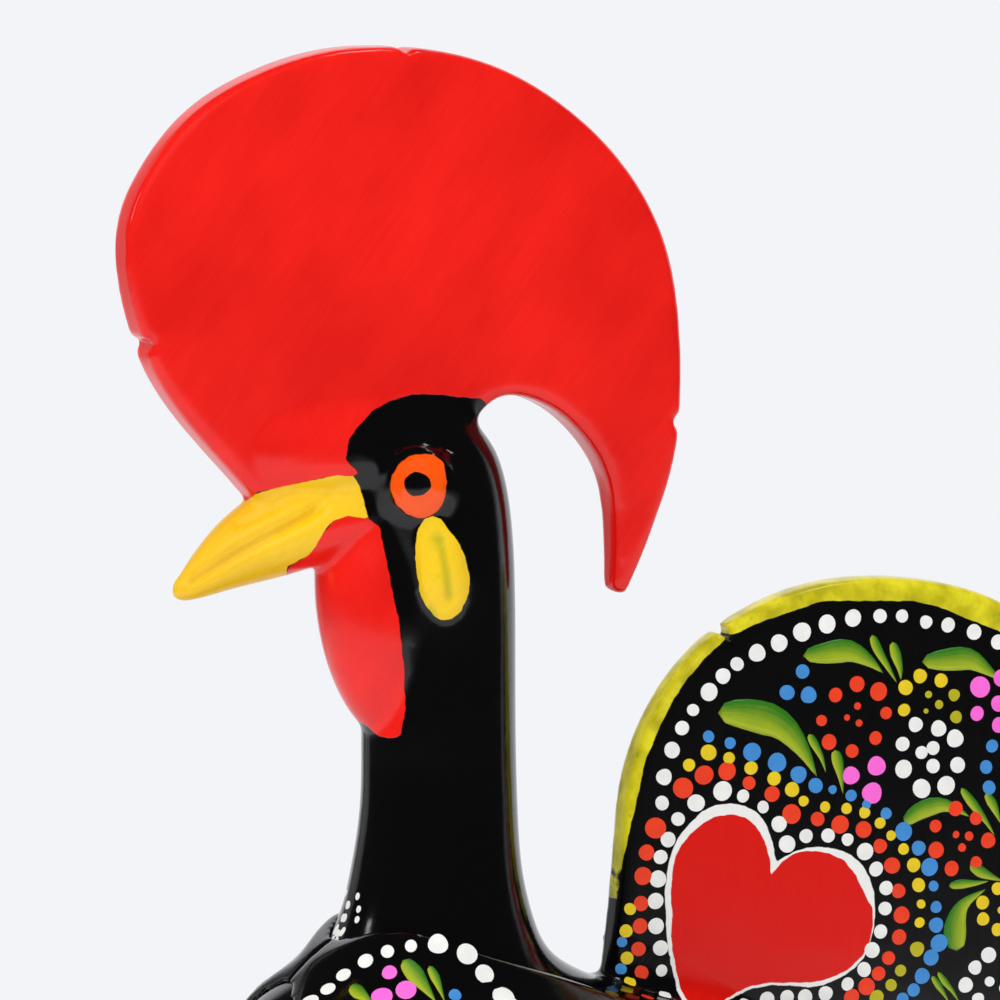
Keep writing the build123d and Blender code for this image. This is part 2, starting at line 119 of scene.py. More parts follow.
class EnamelColours(bpy.types.PropertyGroup):
    """The enamels on the brush."""

    black: colour_setting("Black", "Ground of body, head and tail", "#060607")
    comb_red: colour_setting("Comb red", "Comb and wattle", "#FB1A0C")
    comb_shade: colour_setting("Comb shade", "Thicker paint on comb and wattle", "#E60F05")
    heart_red: colour_setting("Heart red", "Hearts", "#DE0F02")
    dot_red: colour_setting("Dot red", "Red dots", "#F23A0A")
    beak_yellow: colour_setting("Beak yellow", "Beak and legs", "#FFCE12")
    beak_shade: colour_setting("Beak shade", "Thicker paint on the beak", "#F5BE08")
    leg_shade: colour_setting("Leg shade", "Thicker paint on the legs", "#F0B806")
    lobe_yellow: colour_setting("Lobe yellow", "Ear lobes", "#FACD05")
    lobe_shade: colour_setting("Lobe shade", "Thin paint on the ear lobes", "#B7B808")
    # Painted shade: this darker olive is laid along the ear lobes' crease to darken it.
    shaded_lobe_crease: colour_setting("Lobe vein", "Crease of the ear lobes", "#9AA308")
    rim_yellow: colour_setting("Rim yellow", "Rim of the tail", "#E6DA1E")
    rim_olive: colour_setting("Rim olive", "Thin paint on the rim", "#B4AA08")
    rim_green: colour_setting("Rim green", "Brush lines in the rim", "#5F8F14")
    dot_yellow: colour_setting("Dot yellow", "Yellow dots", "#EBCB0A")
    dot_olive: colour_setting("Dot olive", "Thin yellow dots", "#BDB30B")
    orange: colour_setting("Orange", "Irises", "#FA5505")
    white: colour_setting("White", "White dots and outlines", "#F1F0EA")
    blue: colour_setting("Blue", "Blue dots", "#3C8CD2")
    pink: colour_setting("Pink", "Pink dots", "#FF69D7")
    leaf_dark: colour_setting("Leaf dark", "Dark edge of a leaf stroke", "#2F7A12")
    leaf_light: colour_setting("Leaf light", "Light edge of a leaf stroke", "#A9B912")


class StudioSettings(bpy.types.PropertyGroup):
    """Where the camera stands."""

    azimuth: turn_setting("Azimuth", "Camera's turn", -20)
    elevation: turn_setting("Elevation", "Camera's rise", 5)
    distance: length_setting("Distance", "From camera to aim", 2000)
    lens: bpy.props.FloatProperty(
        name="Lens", description="Focal length for a 36 mm sensor, in mm", default=400
    )
    aim: bpy.props.FloatVectorProperty(
        name="Aim",
        description="Point in the middle of the picture",
        subtype="XYZ",
        unit="LENGTH",
        size=3,
        default=(-0.0287, 0, 0.318),
    )


# Camera

picture_size = 1000
sensor = 36


def camera_axes():
    """Where the camera is, and its backward, right and up directions."""
    studio = bpy.context.scene.rooster_studio
    turn, rise = studio.azimuth, studio.elevation
    back = Vector(
        (
            math.sin(turn) * math.cos(rise),
            -math.cos(turn) * math.cos(rise),
            math.sin(rise),
        )
    )
    right = Vector((math.cos(turn), math.sin(turn), 0))
    return Vector(studio.aim) + back * studio.distance, back, right, back.cross(right)


def picture_scale():
    """Picture widths in pixels for a slope of one."""
    return picture_size * bpy.context.scene.rooster_studio.lens / sensor


def picture_ray(pixel):
    """The direction from the camera through a pixel."""
    _, back, right, up = camera_axes()
    across = (pixel[0] - picture_size / 2) / picture_scale()
    down = (pixel[1] - picture_size / 2) / picture_scale()
    return (right * across - up * down - back).normalized()


def picture_points(points):
    """The pixels at which an array of points shows, on whichever side they are."""
    place, back, right, up = (np.array(v) for v in camera_axes())
    near = points * [1, 0, 1] + np.abs(points) * [0, -1, 0] - place
    depth = -(near @ back)
    scale = picture_scale()
    return np.stack(
        [
            picture_size / 2 + near @ right / depth * scale,
            picture_size / 2 - near @ up / depth * scale,
        ],
        axis=1,
    )


def edge_distance(points, start, end):
    """Distance of each point from a straight edge."""
    run = np.subtract(end, start, dtype=float)
    offset = points - np.array(start, float)
    share = np.clip(offset @ run / max(run @ run, 1e-12), 0, 1)
    return np.hypot(*(offset - share[:, None] * run).T)


def inside_distance(points, outline):
    """Distance of each point from a closed outline, above zero inside it."""
    start = np.array(outline, float)
    nearest = np.full(len(points), np.inf)
    inside = np.zeros(len(points), bool)
    for (ax, ay), (bx, by) in zip(start, np.roll(start, -1, axis=0)):
        nearest = np.minimum(nearest, edge_distance(points, (ax, ay), (bx, by)))
        crosses = (ay > points[:, 1]) != (by > points[:, 1])
        if ay != by:
            at = ax + (points[:, 1] - ay) / (by - ay) * (bx - ax)
            inside ^= crosses & (points[:, 0] < at)
    return np.where(inside, nearest, -nearest)


def line_distance(points, line):
    """Distance of each point from an open line."""
    return np.min([edge_distance(points, a, b) for a, b in zip(line, line[1:])], axis=0)


def soft_step(value, low, high):
    """A smooth rise from 0 to 1 between two values."""
    share = np.clip((value - low) / (high - low), 0, 1)
    return share * share * (3 - 2 * share)


# Paint outlines in the picture, in pixels. A generous margin lies outside the object.

pixel = 0.18 * mm
# The head's paint, grooves and softened places lie above this height.
head_floor = 270 * mm
# A distance in millimetres that is well outside every outline
outside = -50
# Half width in millimetres of the painted shade along the ear lobes' crease
crease_shade_half = 1.1
# The tail's root on the body halves: its half thickness, its front end, and the height in
# millimetres from which its rim is yellow
root_half = 6.6 * mm
root_front = -12 * mm
root_yellow = 245.5
comb_outline = [
    (480, 398), (450, 396), (433, 394), (413, 394), (390, 401), (373, 410), (359, 425),
    (349, 439), (346, 458), (351, 466), (359, 473), (353, 476), (337, 475), (304, 482),
    (280, 487), (257, 493), (247, 500), (225, 512), (100, 430), (60, 250), (150, 50),
    (380, 0), (600, 60), (730, 300), (700, 500), (640, 640), (590, 640), (580, 560),
    (560, 480), (535, 432), (500, 412), (488, 405),
]
beak_outline = [
    (353, 476), (337, 475), (304, 482), (280, 487), (257, 493), (247, 500), (225, 505),
    (120, 590), (160, 640), (215, 612), (262, 592), (286, 578), (288, 567), (300, 560),
    (308, 556), (315, 548), (324, 532), (333, 521), (348, 516), (368, 519), (365, 503),
    (359, 485),
]
wattle_outline = [
    (308, 556), (315, 548), (324, 532), (333, 521), (348, 516), (368, 519), (380, 527),
    (389, 575), (399, 623), (404, 670), (405, 709), (401, 734), (391, 739), (380, 736),
    (364, 724), (340, 712), (315, 680), (300, 620), (296, 590), (286, 578), (288, 567),
    (300, 560),
]
iris_outline = [
    (417.8, 454.3), (434.1, 454.7), (444.3, 462.4), (446.7, 480.8), (445.3, 497.1),
    (439.2, 510.4), (429, 516.5), (418.8, 518.6), (406.5, 514.5), (395.3, 503.3),
    (390.2, 489), (392.2, 474.7), (400.4, 462.4), (410.6, 455.9),
]
pupil_centre = (417.3, 483.9)
pupil_reach = (13.3, 12.2)
lobe_outline = [
    (433, 515.9), (441.2, 519.6), (449.4, 529.8), (458.6, 542), (463.7, 554.3),
    (467.8, 570.6), (469.8, 580.8), (466.7, 599.2), (460.6, 612.4), (451.4, 619.6),
    (443.3, 620.6), (435.1, 616.5), (424.9, 605.3), (418.8, 591), (416.3, 570.6),
    (415.1, 546.1), (417.8, 529.8), (423.9, 519.6),
]
mouth_line = [(193, 580), (243, 551), (304, 518), (318, 508)]
nostril_line = [(238, 524), (256, 517), (275, 507)]
brow_line = [(284, 532), (308, 514), (330, 497)]
# The ear lobes' crease: carved as a groove, and darkened along it with painted shade
shaded_lobe_crease = [(440, 540), (446, 570), (449, 596)]
# Grooves of the face as (line, half width in pixels, depth in millimetres)
face_grooves = (
    (mouth_line, 7, 1.1), (mouth_line, 3, 0.3), (nostril_line, 5, 0.5), (brow_line, 5, 0.4),
)
eye_outline = [
    (417 + 50 * math.cos(math.radians(turn)), 482 + 48 * math.sin(math.radians(turn)))
    for turn in range(0, 360, 20)
]
cheek_outline = [
    (262, 425), (300, 405), (350, 398), (400, 400), (450, 404), (470, 415), (468, 440),
    (452, 452), (437, 446), (418, 444), (402, 449), (392, 462), (380, 472), (362, 474),
    (300, 478), (268, 485), (255, 470),
]


# Castings

# Balls inside the belly back its thin rear wall and plug the holes that the rods go
# through, so that the skin has no inside.
belly_fillers = (
    (Vector((17.1 * mm, 0, 159.1 * mm)), 24 * mm),
    (Vector((-8 * mm, -12 * mm, 136 * mm)), 5 * mm),
    (Vector((-8 * mm, 12 * mm, 136 * mm)), 5 * mm),
)


def merged_copy(node):
    """A CAD node's mesh with its loose triangles merged."""
    form = bmesh.new()
    form.from_mesh(nodes[node].data)
    bmesh.ops.remove_doubles(form, verts=form.verts, dist=0.002 * mm)
    form.normal_update()
    return form


def into_mesh(form, name):
    """Frees a bmesh into a new mesh."""
    mesh = bpy.data.meshes.new(name)
    form.to_mesh(mesh)
    form.free()
    return mesh


def place(name, mesh, materials=(), replaced=(), slot=None):
    """Shows a mesh as a piece that rides on the one body."""
    piece = bpy.data.objects.new(name, mesh)
    bpy.context.scene.collection.objects.link(piece)
    for material in materials:
        mesh.materials.append(material)
    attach(piece, "root")
    if replaced:
        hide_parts(*replaced)


def recast(members, grain, swell=0, fillers=()):
    """One closed skin round several CAD nodes and balls of filler, as a bmesh."""
    together = bmesh.new()
    for centre, reach in fillers:
        bmesh.ops.create_icosphere(
            together, subdivisions=4, radius=reach, matrix=Matrix.Translation(centre)
        )
    for member in members:
        form = merged_copy(member)
        moves = [v.normal * swell for v in form.verts]
        for vertex, move in zip(form.verts, moves):
            vertex.co += move
        mesh = into_mesh(form, "member")
        together.from_mesh(mesh)
        bpy.data.meshes.remove(mesh)
    mesh = into_mesh(together, "rough")
    rough = bpy.data.objects.new("rough", mesh)
    bpy.context.scene.collection.objects.link(rough)
    skin = rough.modifiers.new("Skin", "REMESH")
    skin.mode = "VOXEL"
    skin.voxel_size = grain
    depsgraph = bpy.context.evaluated_depsgraph_get()
    skinned = bpy.data.meshes.new_from_object(rough.evaluated_get(depsgraph))
    bpy.data.objects.remove(rough)
    bpy.data.meshes.remove(mesh)
    form = bmesh.new()
    form.from_mesh(skinned)
    bpy.data.meshes.remove(skinned)
    shells = split_shells(form)
    largest = max(shells, key=len)
    inner = [v for shell in shells if shell is not largest for v in shell]
    bmesh.ops.delete(form, geom=inner, context="VERTS")
    for face in form.faces:
        face.smooth = True
    return form


def split_shells(form):
    """The vertices of each connected shell."""
    seen = set()
    shells = []
    for first in form.verts:
        if first in seen:
            continue
        seen.add(first)
        shell, edge_of_search = [first], [first]
        while edge_of_search:
            found = []
            for vertex in edge_of_search:
                for edge in vertex.link_edges:
                    other = edge.other_vert(vertex)
                    if other not in seen:
                        seen.add(other)
                        found.append(other)
            shell += found
            edge_of_search = found
        shells.append(shell)
    return shells


def fettle(form, verts, passes, strength=0.5):
    """Smooths part of a casting, as a file and emery do."""
    for _ in range(passes):
        bmesh.ops.smooth_vert(
            form,
            verts=verts,
            factor=strength,
            use_axis_x=True,
            use_axis_y=True,
            use_axis_z=True,
        )


def coordinates(form):
    """The vertices of a bmesh as an array."""
    return np.array([v.co for v in form.verts])


def near_joint(form, first, second, reach):
    """How near each vertex is to where two sets of nodes meet, from 1 to 0."""
    forms = [BVHTree.FromBMesh(union_of(group)) for group in (first, second)]
    lows, highs = [], []
    for group in (first, second):
        corners = [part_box(node) for node in group]
        lows.append(np.min([low for low, _ in corners], axis=0))
        highs.append(np.max([high for _, high in corners], axis=0))
    low = np.max(lows, axis=0) - reach
    high = np.min(highs, axis=0) + reach
    spots = coordinates(form)
    inside = np.all((spots > low) & (spots < high), axis=1)
    shares = np.zeros(len(spots))
    for i in np.flatnonzero(inside):
        point = Vector(spots[i])
        gap = 0.0
        for tree in forms:
            hit = tree.find_nearest(point, reach)
            gap = reach if hit[3] is None else max(gap, hit[3])
        shares[i] = 1 - gap / reach
    return shares


def union_of(group):
    """The meshes of several CAD nodes in one bmesh."""
    together = bmesh.new()
    for node in group:
        together.from_mesh(nodes[node].data)
    return together


def wear(form, shares, passes):
    """Fettles each vertex for its share of the passes."""
    verts = list(form.verts)
    for turn in range(passes):
        chosen = [verts[i] for i in np.flatnonzero(shares > turn / passes)]
        fettle(form, chosen, 1, 0.75)


def soften(form, outline, reach, passes):
    """Fettles both sides of the head inside an outline in the picture."""
    spots = coordinates(form)
    depths = inside_distance(picture_points(spots), outline) / reach
    wear(form, np.where(spots[:, 2] > head_floor, depths, 0), passes)


def restore_tip(form, node, reach, longer):
    """Brings a node's lowest tip behind the face back, as fettling wears it down, and
    draws it a little longer."""
    rear = [v.co for v in nodes[node].data.vertices if v.co.x > -15 * mm]
    tip = min(rear, key=lambda co: co.z) - Vector((0, 0, longer))
    nearest = min((v.co for v in form.verts), key=lambda co: (co - tip).length)
    worn, shift = nearest.copy(), tip - nearest
    for vertex in form.verts:
        share = 1 - (vertex.co - worn).length / reach
        if share > 0:
            vertex.co += shift * share


def raise_skin(form, heights):
    """Moves each vertex outwards by its height."""
    form.normal_update()
    for vertex, height in zip(form.verts, heights):
        if height:
            vertex.co += vertex.normal * float(height)


def carve_face(form):
    """The beak's grooves, the irises and upper eyelids, and the ear lobes."""
    spots = coordinates(form)
    seen = picture_points(spots)
    front = (spots[:, 2] > head_floor) & (spots[:, 2] < 345 * mm) & (spots[:, 0] < -20 * mm)
    cheeks = soft_step(np.abs(spots[:, 1]), 3 * mm, 8 * mm) * front
    beak = soft_step(inside_distance(seen, beak_outline), -2, 7) * front
    ring = np.hypot(*(seen - pupil_centre).T)
    heights = np.zeros(len(spots))
    for line, width, depth in face_grooves:
        heights -= beak * depth * np.exp(-((line_distance(seen, line) / width) ** 2)) * mm
    upper = soft_step(pupil_centre[1] - seen[:, 1], 0, 18)
    for share, height in (
        (soft_step(inside_distance(seen, iris_outline), -3, 4), 0.45),
        (np.exp(-(((ring - 34) / 3.5) ** 2)) * upper, 0.4),
        (np.exp(-(((ring - 17) / 5) ** 2)), -0.25),
        (soft_step(inside_distance(seen, lobe_outline), -5, 9), 0.9),
        (np.exp(-((line_distance(seen, shaded_lobe_crease) / 5) ** 2)), -0.5),
    ):
        heights += share * height * mm * cheeks
    raise_skin(form, heights)


def cut_apart(form, point, normal, wanted):
    """Cuts the faces with a corner that passes a test along a plane."""
    faces = [f for f in form.faces if any(wanted(v.co) for v in f.verts)]
    geometry = set(faces)
    for face in faces:
        geometry.update(face.verts)
        geometry.update(face.edges)
    cut = bmesh.ops.bisect_plane(
        form, geom=list(geometry), dist=0.001 * mm, plane_co=point, plane_no=normal
    )["geom_cut"]
    edges = [e for e in cut if isinstance(e, bmesh.types.BMEdge)]
    bmesh.ops.split_edges(form, edges=edges)


def close_cut(form, normal):
    """Closes a cut with a flat lid whose outside is along the normal."""
    edges = [e for e in form.edges if e.is_boundary]
    lid = bmesh.ops.triangle_fill(form, use_beauty=True, edges=edges, normal=normal)["geom"]
    faces = [f for f in lid if isinstance(f, bmesh.types.BMFace)]
    if not faces:
        raise RuntimeError("a cut casting wasn't closed")
    for face in faces:
        face.smooth = False
        face.normal_update()
        if face.normal.dot(normal) < 0:
            face.normal_flip()


def take_shell(form, what):
    """Cuts a piece off a casting. The piece lies on its plane's outer side."""
    point, normal, wanted = cuts[what]
    cut_apart(form, point, normal, wanted)
    best, shell = max(
        ((np.mean([v.co for v in part], axis=0) - point) @ normal, part)
        for part in split_shells(form)
    )
    if len(shell) == len(form.verts) or best < 0:
        raise RuntimeError(f"the {what} wasn't cut off")
    taken = extract(form, shell)
    close_cut(taken, -normal)
    close_cut(form, normal)
    return taken


# Where the joined casting is cut apart: a point on the plane, its outward direction, and
# which vertices the cut may touch
cuts = {
    "comb": (
        Vector((-78 * mm, 0, 317.6 * mm)),
        Vector((-0.318, 0, 0.948)).normalized(),
        lambda p: -0.085 < p.x < -0.026 and 0.310 < p.z < 0.350,
    ),
    "face": (
        Vector((-55.4 * mm, 0, 300 * mm)),
        Vector((-1, 0, 0)),
        lambda p: p.x < -0.050 and p.z > 0.268,
    ),
    "wattle": (
        Vector((-66 * mm, 0, 307.5 * mm)),
        Vector((0.52, 0, -0.85)).normalized(),
        lambda p: True,
    ),
    "tail": (
        Vector((19 * mm, 0, 225.5 * mm)),
        Vector((0.545, 0, 1)).normalized(),
        lambda p: p.x > -0.0135 and abs(p.y) < 0.013 and p.z > 0.196,
    ),
    "left half": (Vector((0, 0, 0)), Vector((0, -1, 0)), lambda p: True),
}


def extract(form, shell):
    """Moves a shell's vertices and faces into a bmesh of their own."""
    form.verts.index_update()
    taken = form.copy()
    inside = {v.index for v in shell}
    rest = [v for v in taken.verts if v.index not in inside]
    bmesh.ops.delete(taken, geom=rest, context="VERTS")
    bmesh.ops.delete(form, geom=list(shell), context="VERTS")
    return taken


def finished_skin(form, name):
    """A mesh that keeps the joined casting's shading up to its cut edges."""
    layer = form.verts.layers.float_vector["shading"]
    for vertex in form.verts:
        if vertex[layer].length == 0:
            vertex[layer] = vertex.normal
    shading = []
    for face in form.faces:
        for corner in face.loops:
            shading.append(
                corner.vert[layer].normalized() if face.smooth else face.normal.copy()
            )
    form.verts.layers.float_vector.remove(layer)
    mesh = into_mesh(form, name)
    mesh.normals_split_custom_set(shading)
    return mesh


def mesh_points(mesh):
    """The vertices of a mesh as an array."""
    flat = np.empty(len(mesh.vertices) * 3, np.float32)
    mesh.vertices.foreach_get("co", flat)
    return flat.reshape(-1, 3).astype(float)


def store_distance(mesh, name, distances):
    """Keeps a paint outline's distance in millimetres on each vertex."""
    attribute = mesh.attributes.new(name, "FLOAT", "POINT")
    attribute.data.foreach_set("value", np.asarray(distances, np.float32))


def paint_head(mesh):
    """Marks where each enamel lies on the head and on the tail's root."""
    spots = mesh_points(mesh)
    seen = picture_points(spots)
    scale = pixel / mm
    high = np.where(spots[:, 2] > head_floor, 0, outside)
    reach = np.array(pupil_reach)
    red = np.maximum(
        inside_distance(seen, comb_outline), inside_distance(seen, wattle_outline)
    )
    for name, edge in (
        ("red_edge", red),
        ("beak_edge", inside_distance(seen, beak_outline)),
        ("lobe_edge", inside_distance(seen, lobe_outline)),
        ("iris_edge", inside_distance(seen, iris_outline)),
        ("pupil_edge", (1 - np.hypot(*((seen - pupil_centre) / reach).T)) * reach.mean()),
    ):
        store_distance(mesh, name, edge * scale + high)
    # Painted shade along the ear lobes' crease, within its half width
    store_distance(mesh, "shaded_lobe_crease", crease_shade_half - line_distance(seen, shaded_lobe_crease) * scale)
    root = (np.abs(spots[:, 1]) < root_half) & (spots[:, 0] > root_front)
    root &= spots[:, 2] < head_floor
    marks = tail_marks(spots)
    marks["rim_edge"] = np.minimum(marks["rim_edge"], spots[:, 2] / mm - root_yellow)
    for name, edge in marks.items():
        store_distance(mesh, name, np.where(root, edge, outside))


# Enamels


# Settings of a Math node that scales and shifts, and of one that also holds its result
# between 0 and 1
scaled = {"operation": "MULTIPLY_ADD"}
held = {"operation": "MULTIPLY_ADD", "use_clamp": True}

# Painted borders fade over a ninth of a millimetre.
sharpness = 9.0
enamel_ior = 1.5


def add_node(tree, kind, inputs=(), output=0, **settings):
    """Adds a node with its settings, values and links, and gives one of its outputs."""
    made = tree.nodes.new(f"ShaderNode{kind}")
    for name, value in settings.items():
        setattr(made, name, value)
    for name, value in inputs.items() if isinstance(inputs, dict) else enumerate(inputs):
        if isinstance(value, bpy.types.NodeSocket):
            tree.links.new(value, made.inputs[name])
        else:
            made.inputs[name].default_value = value
    return made.outputs[output] if made.outputs else None


def new_material(name):
    """An empty node material and its tree."""
    material = bpy.data.materials.new(name)
    material.use_nodes = True
    material.node_tree.nodes.clear()
    return material, material.node_tree


def pattern(tree, size, detail=2.0, stretch=(1, 1, 1), turn=(0, 0, 0), rough=0.5):
    """A noise whose features have the given sizes in metres."""
    spot = add_node(tree, "TexCoord", output="Object")
    scale = [size * part for part in stretch]
    turned = add_node(
        tree,
        "Mapping",
        {"Vector": spot, "Rotation": turn, "Scale": scale},
        vector_type="TEXTURE",
    )
    noise = {"Vector": turned, "Scale": 1.0, "Detail": detail, "Roughness": rough}
    return add_node(tree, "TexNoise", noise, "Fac")


def coats(tree, colour, *layers):
    """Lays paints over a colour, each as its share and its own colour."""
    for share, paint in layers:
        colour = add_node(tree, "Mix", {0: share, 6: colour, 7: paint}, 2, data_type="RGBA")
    return colour


def painted_regions(tree, wobble, *names):
    """For each paint outline, 1 inside and 0 outside, with a hand-drawn edge."""
    regions = []
    for name in names:
        edge = add_node(tree, "Attribute", output="Fac", attribute_name=name)
        drawn = add_node(tree, "Math", (edge, wobble), operation="ADD")
        regions.append(add_node(tree, "Math", (drawn, sharpness, 0.5), **held))
    return regions


def finish_surface(tree, relief, depth, inputs, strength=1.0):
    """Ends a material in a surface whose relief has a depth in metres."""
    bump = {"Strength": strength, "Distance": depth, "Height": relief}
    inputs = {**inputs, "Normal": add_node(tree, "Bump", bump)}
    surface = add_node(tree, "BsdfPrincipled", inputs)
    add_node(tree, "OutputMaterial", {"Surface": surface})


def enamel_finish(tree, colour, thickness, roughness, streak, tone):
    """Gloss oil enamel laid on by brush over a fettled casting."""
    # Brush hairs leave fine lines, the sanded casting long low waves, and dust small nibs.
    wave = pattern(tree, 14 * mm, detail=1.0)
    dust = pattern(tree, 1.6 * mm, detail=0.0)
    nib = add_node(tree, "Math", (dust, 0.86), operation="GREATER_THAN")
    relief = 0.0
    for part, height in ((streak, 0.014), (wave, 0.12), (nib, 0.02), (thickness, 0.05)):
        if part is not None:
            relief = add_node(tree, "Math", (part, height, relief), **scaled)
    level = add_node(tree, "Math", (streak, tone, 1 - tone / 2), **scaled)
    shade = add_node(tree, "HueSaturation", {"Color": colour, "Value": level, "Fac": 1.0})
    gloss = add_node(tree, "Math", (streak, 0.08, roughness), **scaled)
    finish_surface(
        tree, relief, mm, {"Base Color": shade, "Roughness": gloss, "IOR": enamel_ior}
    )


def casting_enamel():
    """Hand-brushed gloss oil enamels over cast aluminium: black ground, red comb and
    wattle, yellow beak and ear lobes, orange irises."""
    # Deep wet black with sharp reflections; the red shows its brush lines and thin places.
    colours = bpy.context.scene.rooster_enamels
    material, tree = new_material("gloss enamel on cast aluminium")
    comb_lean = (0, math.radians(38), 0)
    wobble = add_node(tree, "Math", (pattern(tree, 2.2 * mm), 0.7, -0.35), **scaled)
    streak = pattern(tree, 0.5 * mm, 3.0, stretch=(1.2, 1.2, 26), turn=comb_lean)
    patch = pattern(tree, 16 * mm, 3.0, stretch=(1, 1, 1.6), turn=comb_lean)
    red, beak, lobe, iris, pupil, rim, line, fill = painted_regions(
        tree, wobble, "red_edge", "beak_edge", "lobe_edge", "iris_edge", "pupil_edge",
        "rim_edge", "heart_edge", "heart_fill",
    )
    light_red = add_node(tree, "Math", (patch, 2.6, -0.9), **held)
    light_yellow = add_node(tree, "Math", (patch, 2.4, -0.7), **held)
    thin = add_node(tree, "Math", (pattern(tree, 5 * mm), 4.0, -2.4), **held)
    # Painted shade: the ear lobes turn darker olive along their crease.
    crease_shade = add_node(tree, "Attribute", output="Fac", attribute_name="shaded_lobe_crease")
    crease_shade = add_node(tree, "Math", (crease_shade, 0.55, 0.0), **held)
    comb_paint = coats(tree, colours.comb_shade, (light_red, colours.comb_red))
    beak_paint = coats(tree, colours.beak_shade, (light_yellow, colours.beak_yellow))
    lobe_paint = coats(
        tree, colours.lobe_yellow, (thin, colours.lobe_shade), (crease_shade, colours.shaded_lobe_crease)
    )
    colour = coats(
        tree, colours.black, (beak, beak_paint), (red, comb_paint), (lobe, lobe_paint),
        (iris, colours.orange), (pupil, colours.black), (rim, colours.rim_yellow),
        (line, colours.white), (fill, colours.heart_red),
    )
    layers = add_node(tree, "Math", (red, beak), operation="MAXIMUM")
    layers = add_node(tree, "Math", (layers, lobe), operation="ADD")
    layers = add_node(tree, "Math", (layers, iris), operation="ADD")
    satin = add_node(tree, "Math", (beak, lobe), operation="MAXIMUM")
    satin = add_node(tree, "Math", (satin, 0.2, 0.08), **scaled)
    satin = add_node(tree, "Math", (red, 0.07, satin), **scaled)
    enamel_finish(tree, colour, layers, satin, streak, 0.14)
    return material


def plain_enamel(name, colour, second, roughness=0.12):
    """One gloss enamel laid on by brush, with a thinner second tone."""
    material, tree = new_material(name)
    streak = pattern(tree, 0.5 * mm, 3.0, stretch=(1, 1, 14))
    patch = add_node(tree, "Math", (pattern(tree, 8 * mm, 3.0), 2.6, -0.9), **held)
    shaded = coats(tree, second, (patch, colour))
    enamel_finish(tree, shaded, None, roughness, streak, 0.1)
    return material


def band_paint(tree):
    """Brushed yellow, thin over the black, so that it turns olive in places."""
    colours = bpy.context.scene.rooster_enamels
    thin = add_node(tree, "Math", (pattern(tree, 5 * mm, 3.0), 3.4, -1.2), **held)
    return coats(tree, colours.rim_yellow, (thin, colours.rim_olive))


def spacing(full=1.0):
    return bpy.context.scene.rooster_castings.grain * full


def keep_inside(form, box):
    """Holds a casting inside a box."""
    low, high = (Vector(corner) for corner in box)
    for vertex in form.verts:
        for axis in range(3):
            vertex.co[axis] = min(max(vertex.co[axis], low[axis]), high[axis])


class ROOSTER_OT_castings(bpy.types.Operator):
    """Body halves, comb, beak, wattle and tail, glued, filled and fettled as one"""

    bl_idname = "rooster.castings"
    bl_label = "Painted castings"

    def execute(self, context):
        sizes = context.scene.rooster_castings
        body = ("left_body_half", "right_body_half")
        members = (
            *body, "comb", "beak", "wattle", "tail_fan", "comb_pins", "tail_rivets",
            "wing_rivets", "seam_pins",
        )
        form = recast(members, spacing(), sizes.glue_gap, belly_fillers)
        fettle(form, form.verts, sizes.fettling)
        for first, second, reach, passes in (
            (body, ("comb",), sizes.head_blend, 36),
            (body, ("tail_fan",), sizes.tail_blend, 36),
            (("comb",), ("beak",), sizes.face_blend, 4),
            (body, ("beak",), sizes.face_blend, 7),
            (body, ("wattle",), sizes.face_blend, 8),
        ):
            wear(form, near_joint(form, first, second, reach), passes)
        restore_tip(form, "comb", 14 * mm, 1.3 * mm)
        soften(form, cheek_outline, 14, 80)
        soften(form, eye_outline, 16, 40)
        carve_face(form)
        keep_inside(form, cad_box)
        form.normal_update()
        shading = form.verts.layers.float_vector.new("shading")
        for vertex in form.verts:
            vertex[shading] = vertex.normal

        comb = take_shell(form, "comb")
        face = take_shell(form, "face")
        wattle = take_shell(face, "wattle")
        tail = take_shell(form, "tail")
        left = take_shell(form, "left half")
        paint = casting_enamel()
        for piece, name, slot in (
            (comb, "comb", "red_enamel"),
            (face, "beak", "yellow_enamel"),
            (wattle, "wattle", "red_enamel"),
            (left, "left_body_half", "black_enamel"),
            (form, "right_body_half", "black_enamel"),
        ):
            mesh = finished_skin(piece, f"painted_{name}")
            paint_head(mesh)
            place(f"painted_{name}", mesh, [paint], [name], slot)
        mesh = finished_skin(tail, "painted_tail_fan")
        for name, edge in tail_marks(mesh_points(mesh)).items():
            store_distance(mesh, name, edge)
        place("painted_tail_fan", mesh, [tail_enamel()], ["tail_fan"], "black_enamel")
        return {"FINISHED"}


# Tail

tail_face = -4.6 * mm
tail_centre = (43.6 * mm, 250.5 * mm)
tail_reach = 51.3 * mm
tail_rim = 5.2 * mm
rim_line = [
    (604, 903), (622, 901), (624, 875), (628.5, 849), (631.5, 831), (638, 802), (647, 760),
    (651, 751),
    (661, 727), (673, 703), (689, 679), (708, 657), (727, 640), (757, 624), (800, 609),
    (825, 601), (876, 601), (915, 601), (940, 607), (966, 618), (1000, 631),
]
heart_outline = [
    (679.8, 1000), (675.7, 982.3), (670.7, 962.4), (667.4, 937.5), (666.2, 912.7),
    (664.9, 894.4), (667.4, 872.9), (671.5, 853), (678.1, 838), (688.1, 824.8),
    (701.4, 811.5), (714.6, 804.9), (729.6, 802.7), (744.5, 805.7), (756.1, 812.3),
    (764.4, 823.1), (770.2, 838), (772.7, 849.7), (774.7, 862.4), (784.3, 855.5),
    (794.2, 850.5), (805.8, 847.2), (819.1, 846.3), (835.7, 849.3), (849, 853.8),
    (860.6, 864.6), (868, 877.8), (872.2, 892.8), (873.3, 909.4), (872.2, 925.9),
    (868, 942.5), (862.2, 957.4), (853.9, 967.4), (839, 977.3), (822.4, 984.8),
    (805.8, 987.3), (789.3, 985.6), (769.4, 984.8), (752.8, 988.1), (739.5, 993.9),
    (727.9, 1000), (712, 1013), (696, 1033), (686, 1020),
]
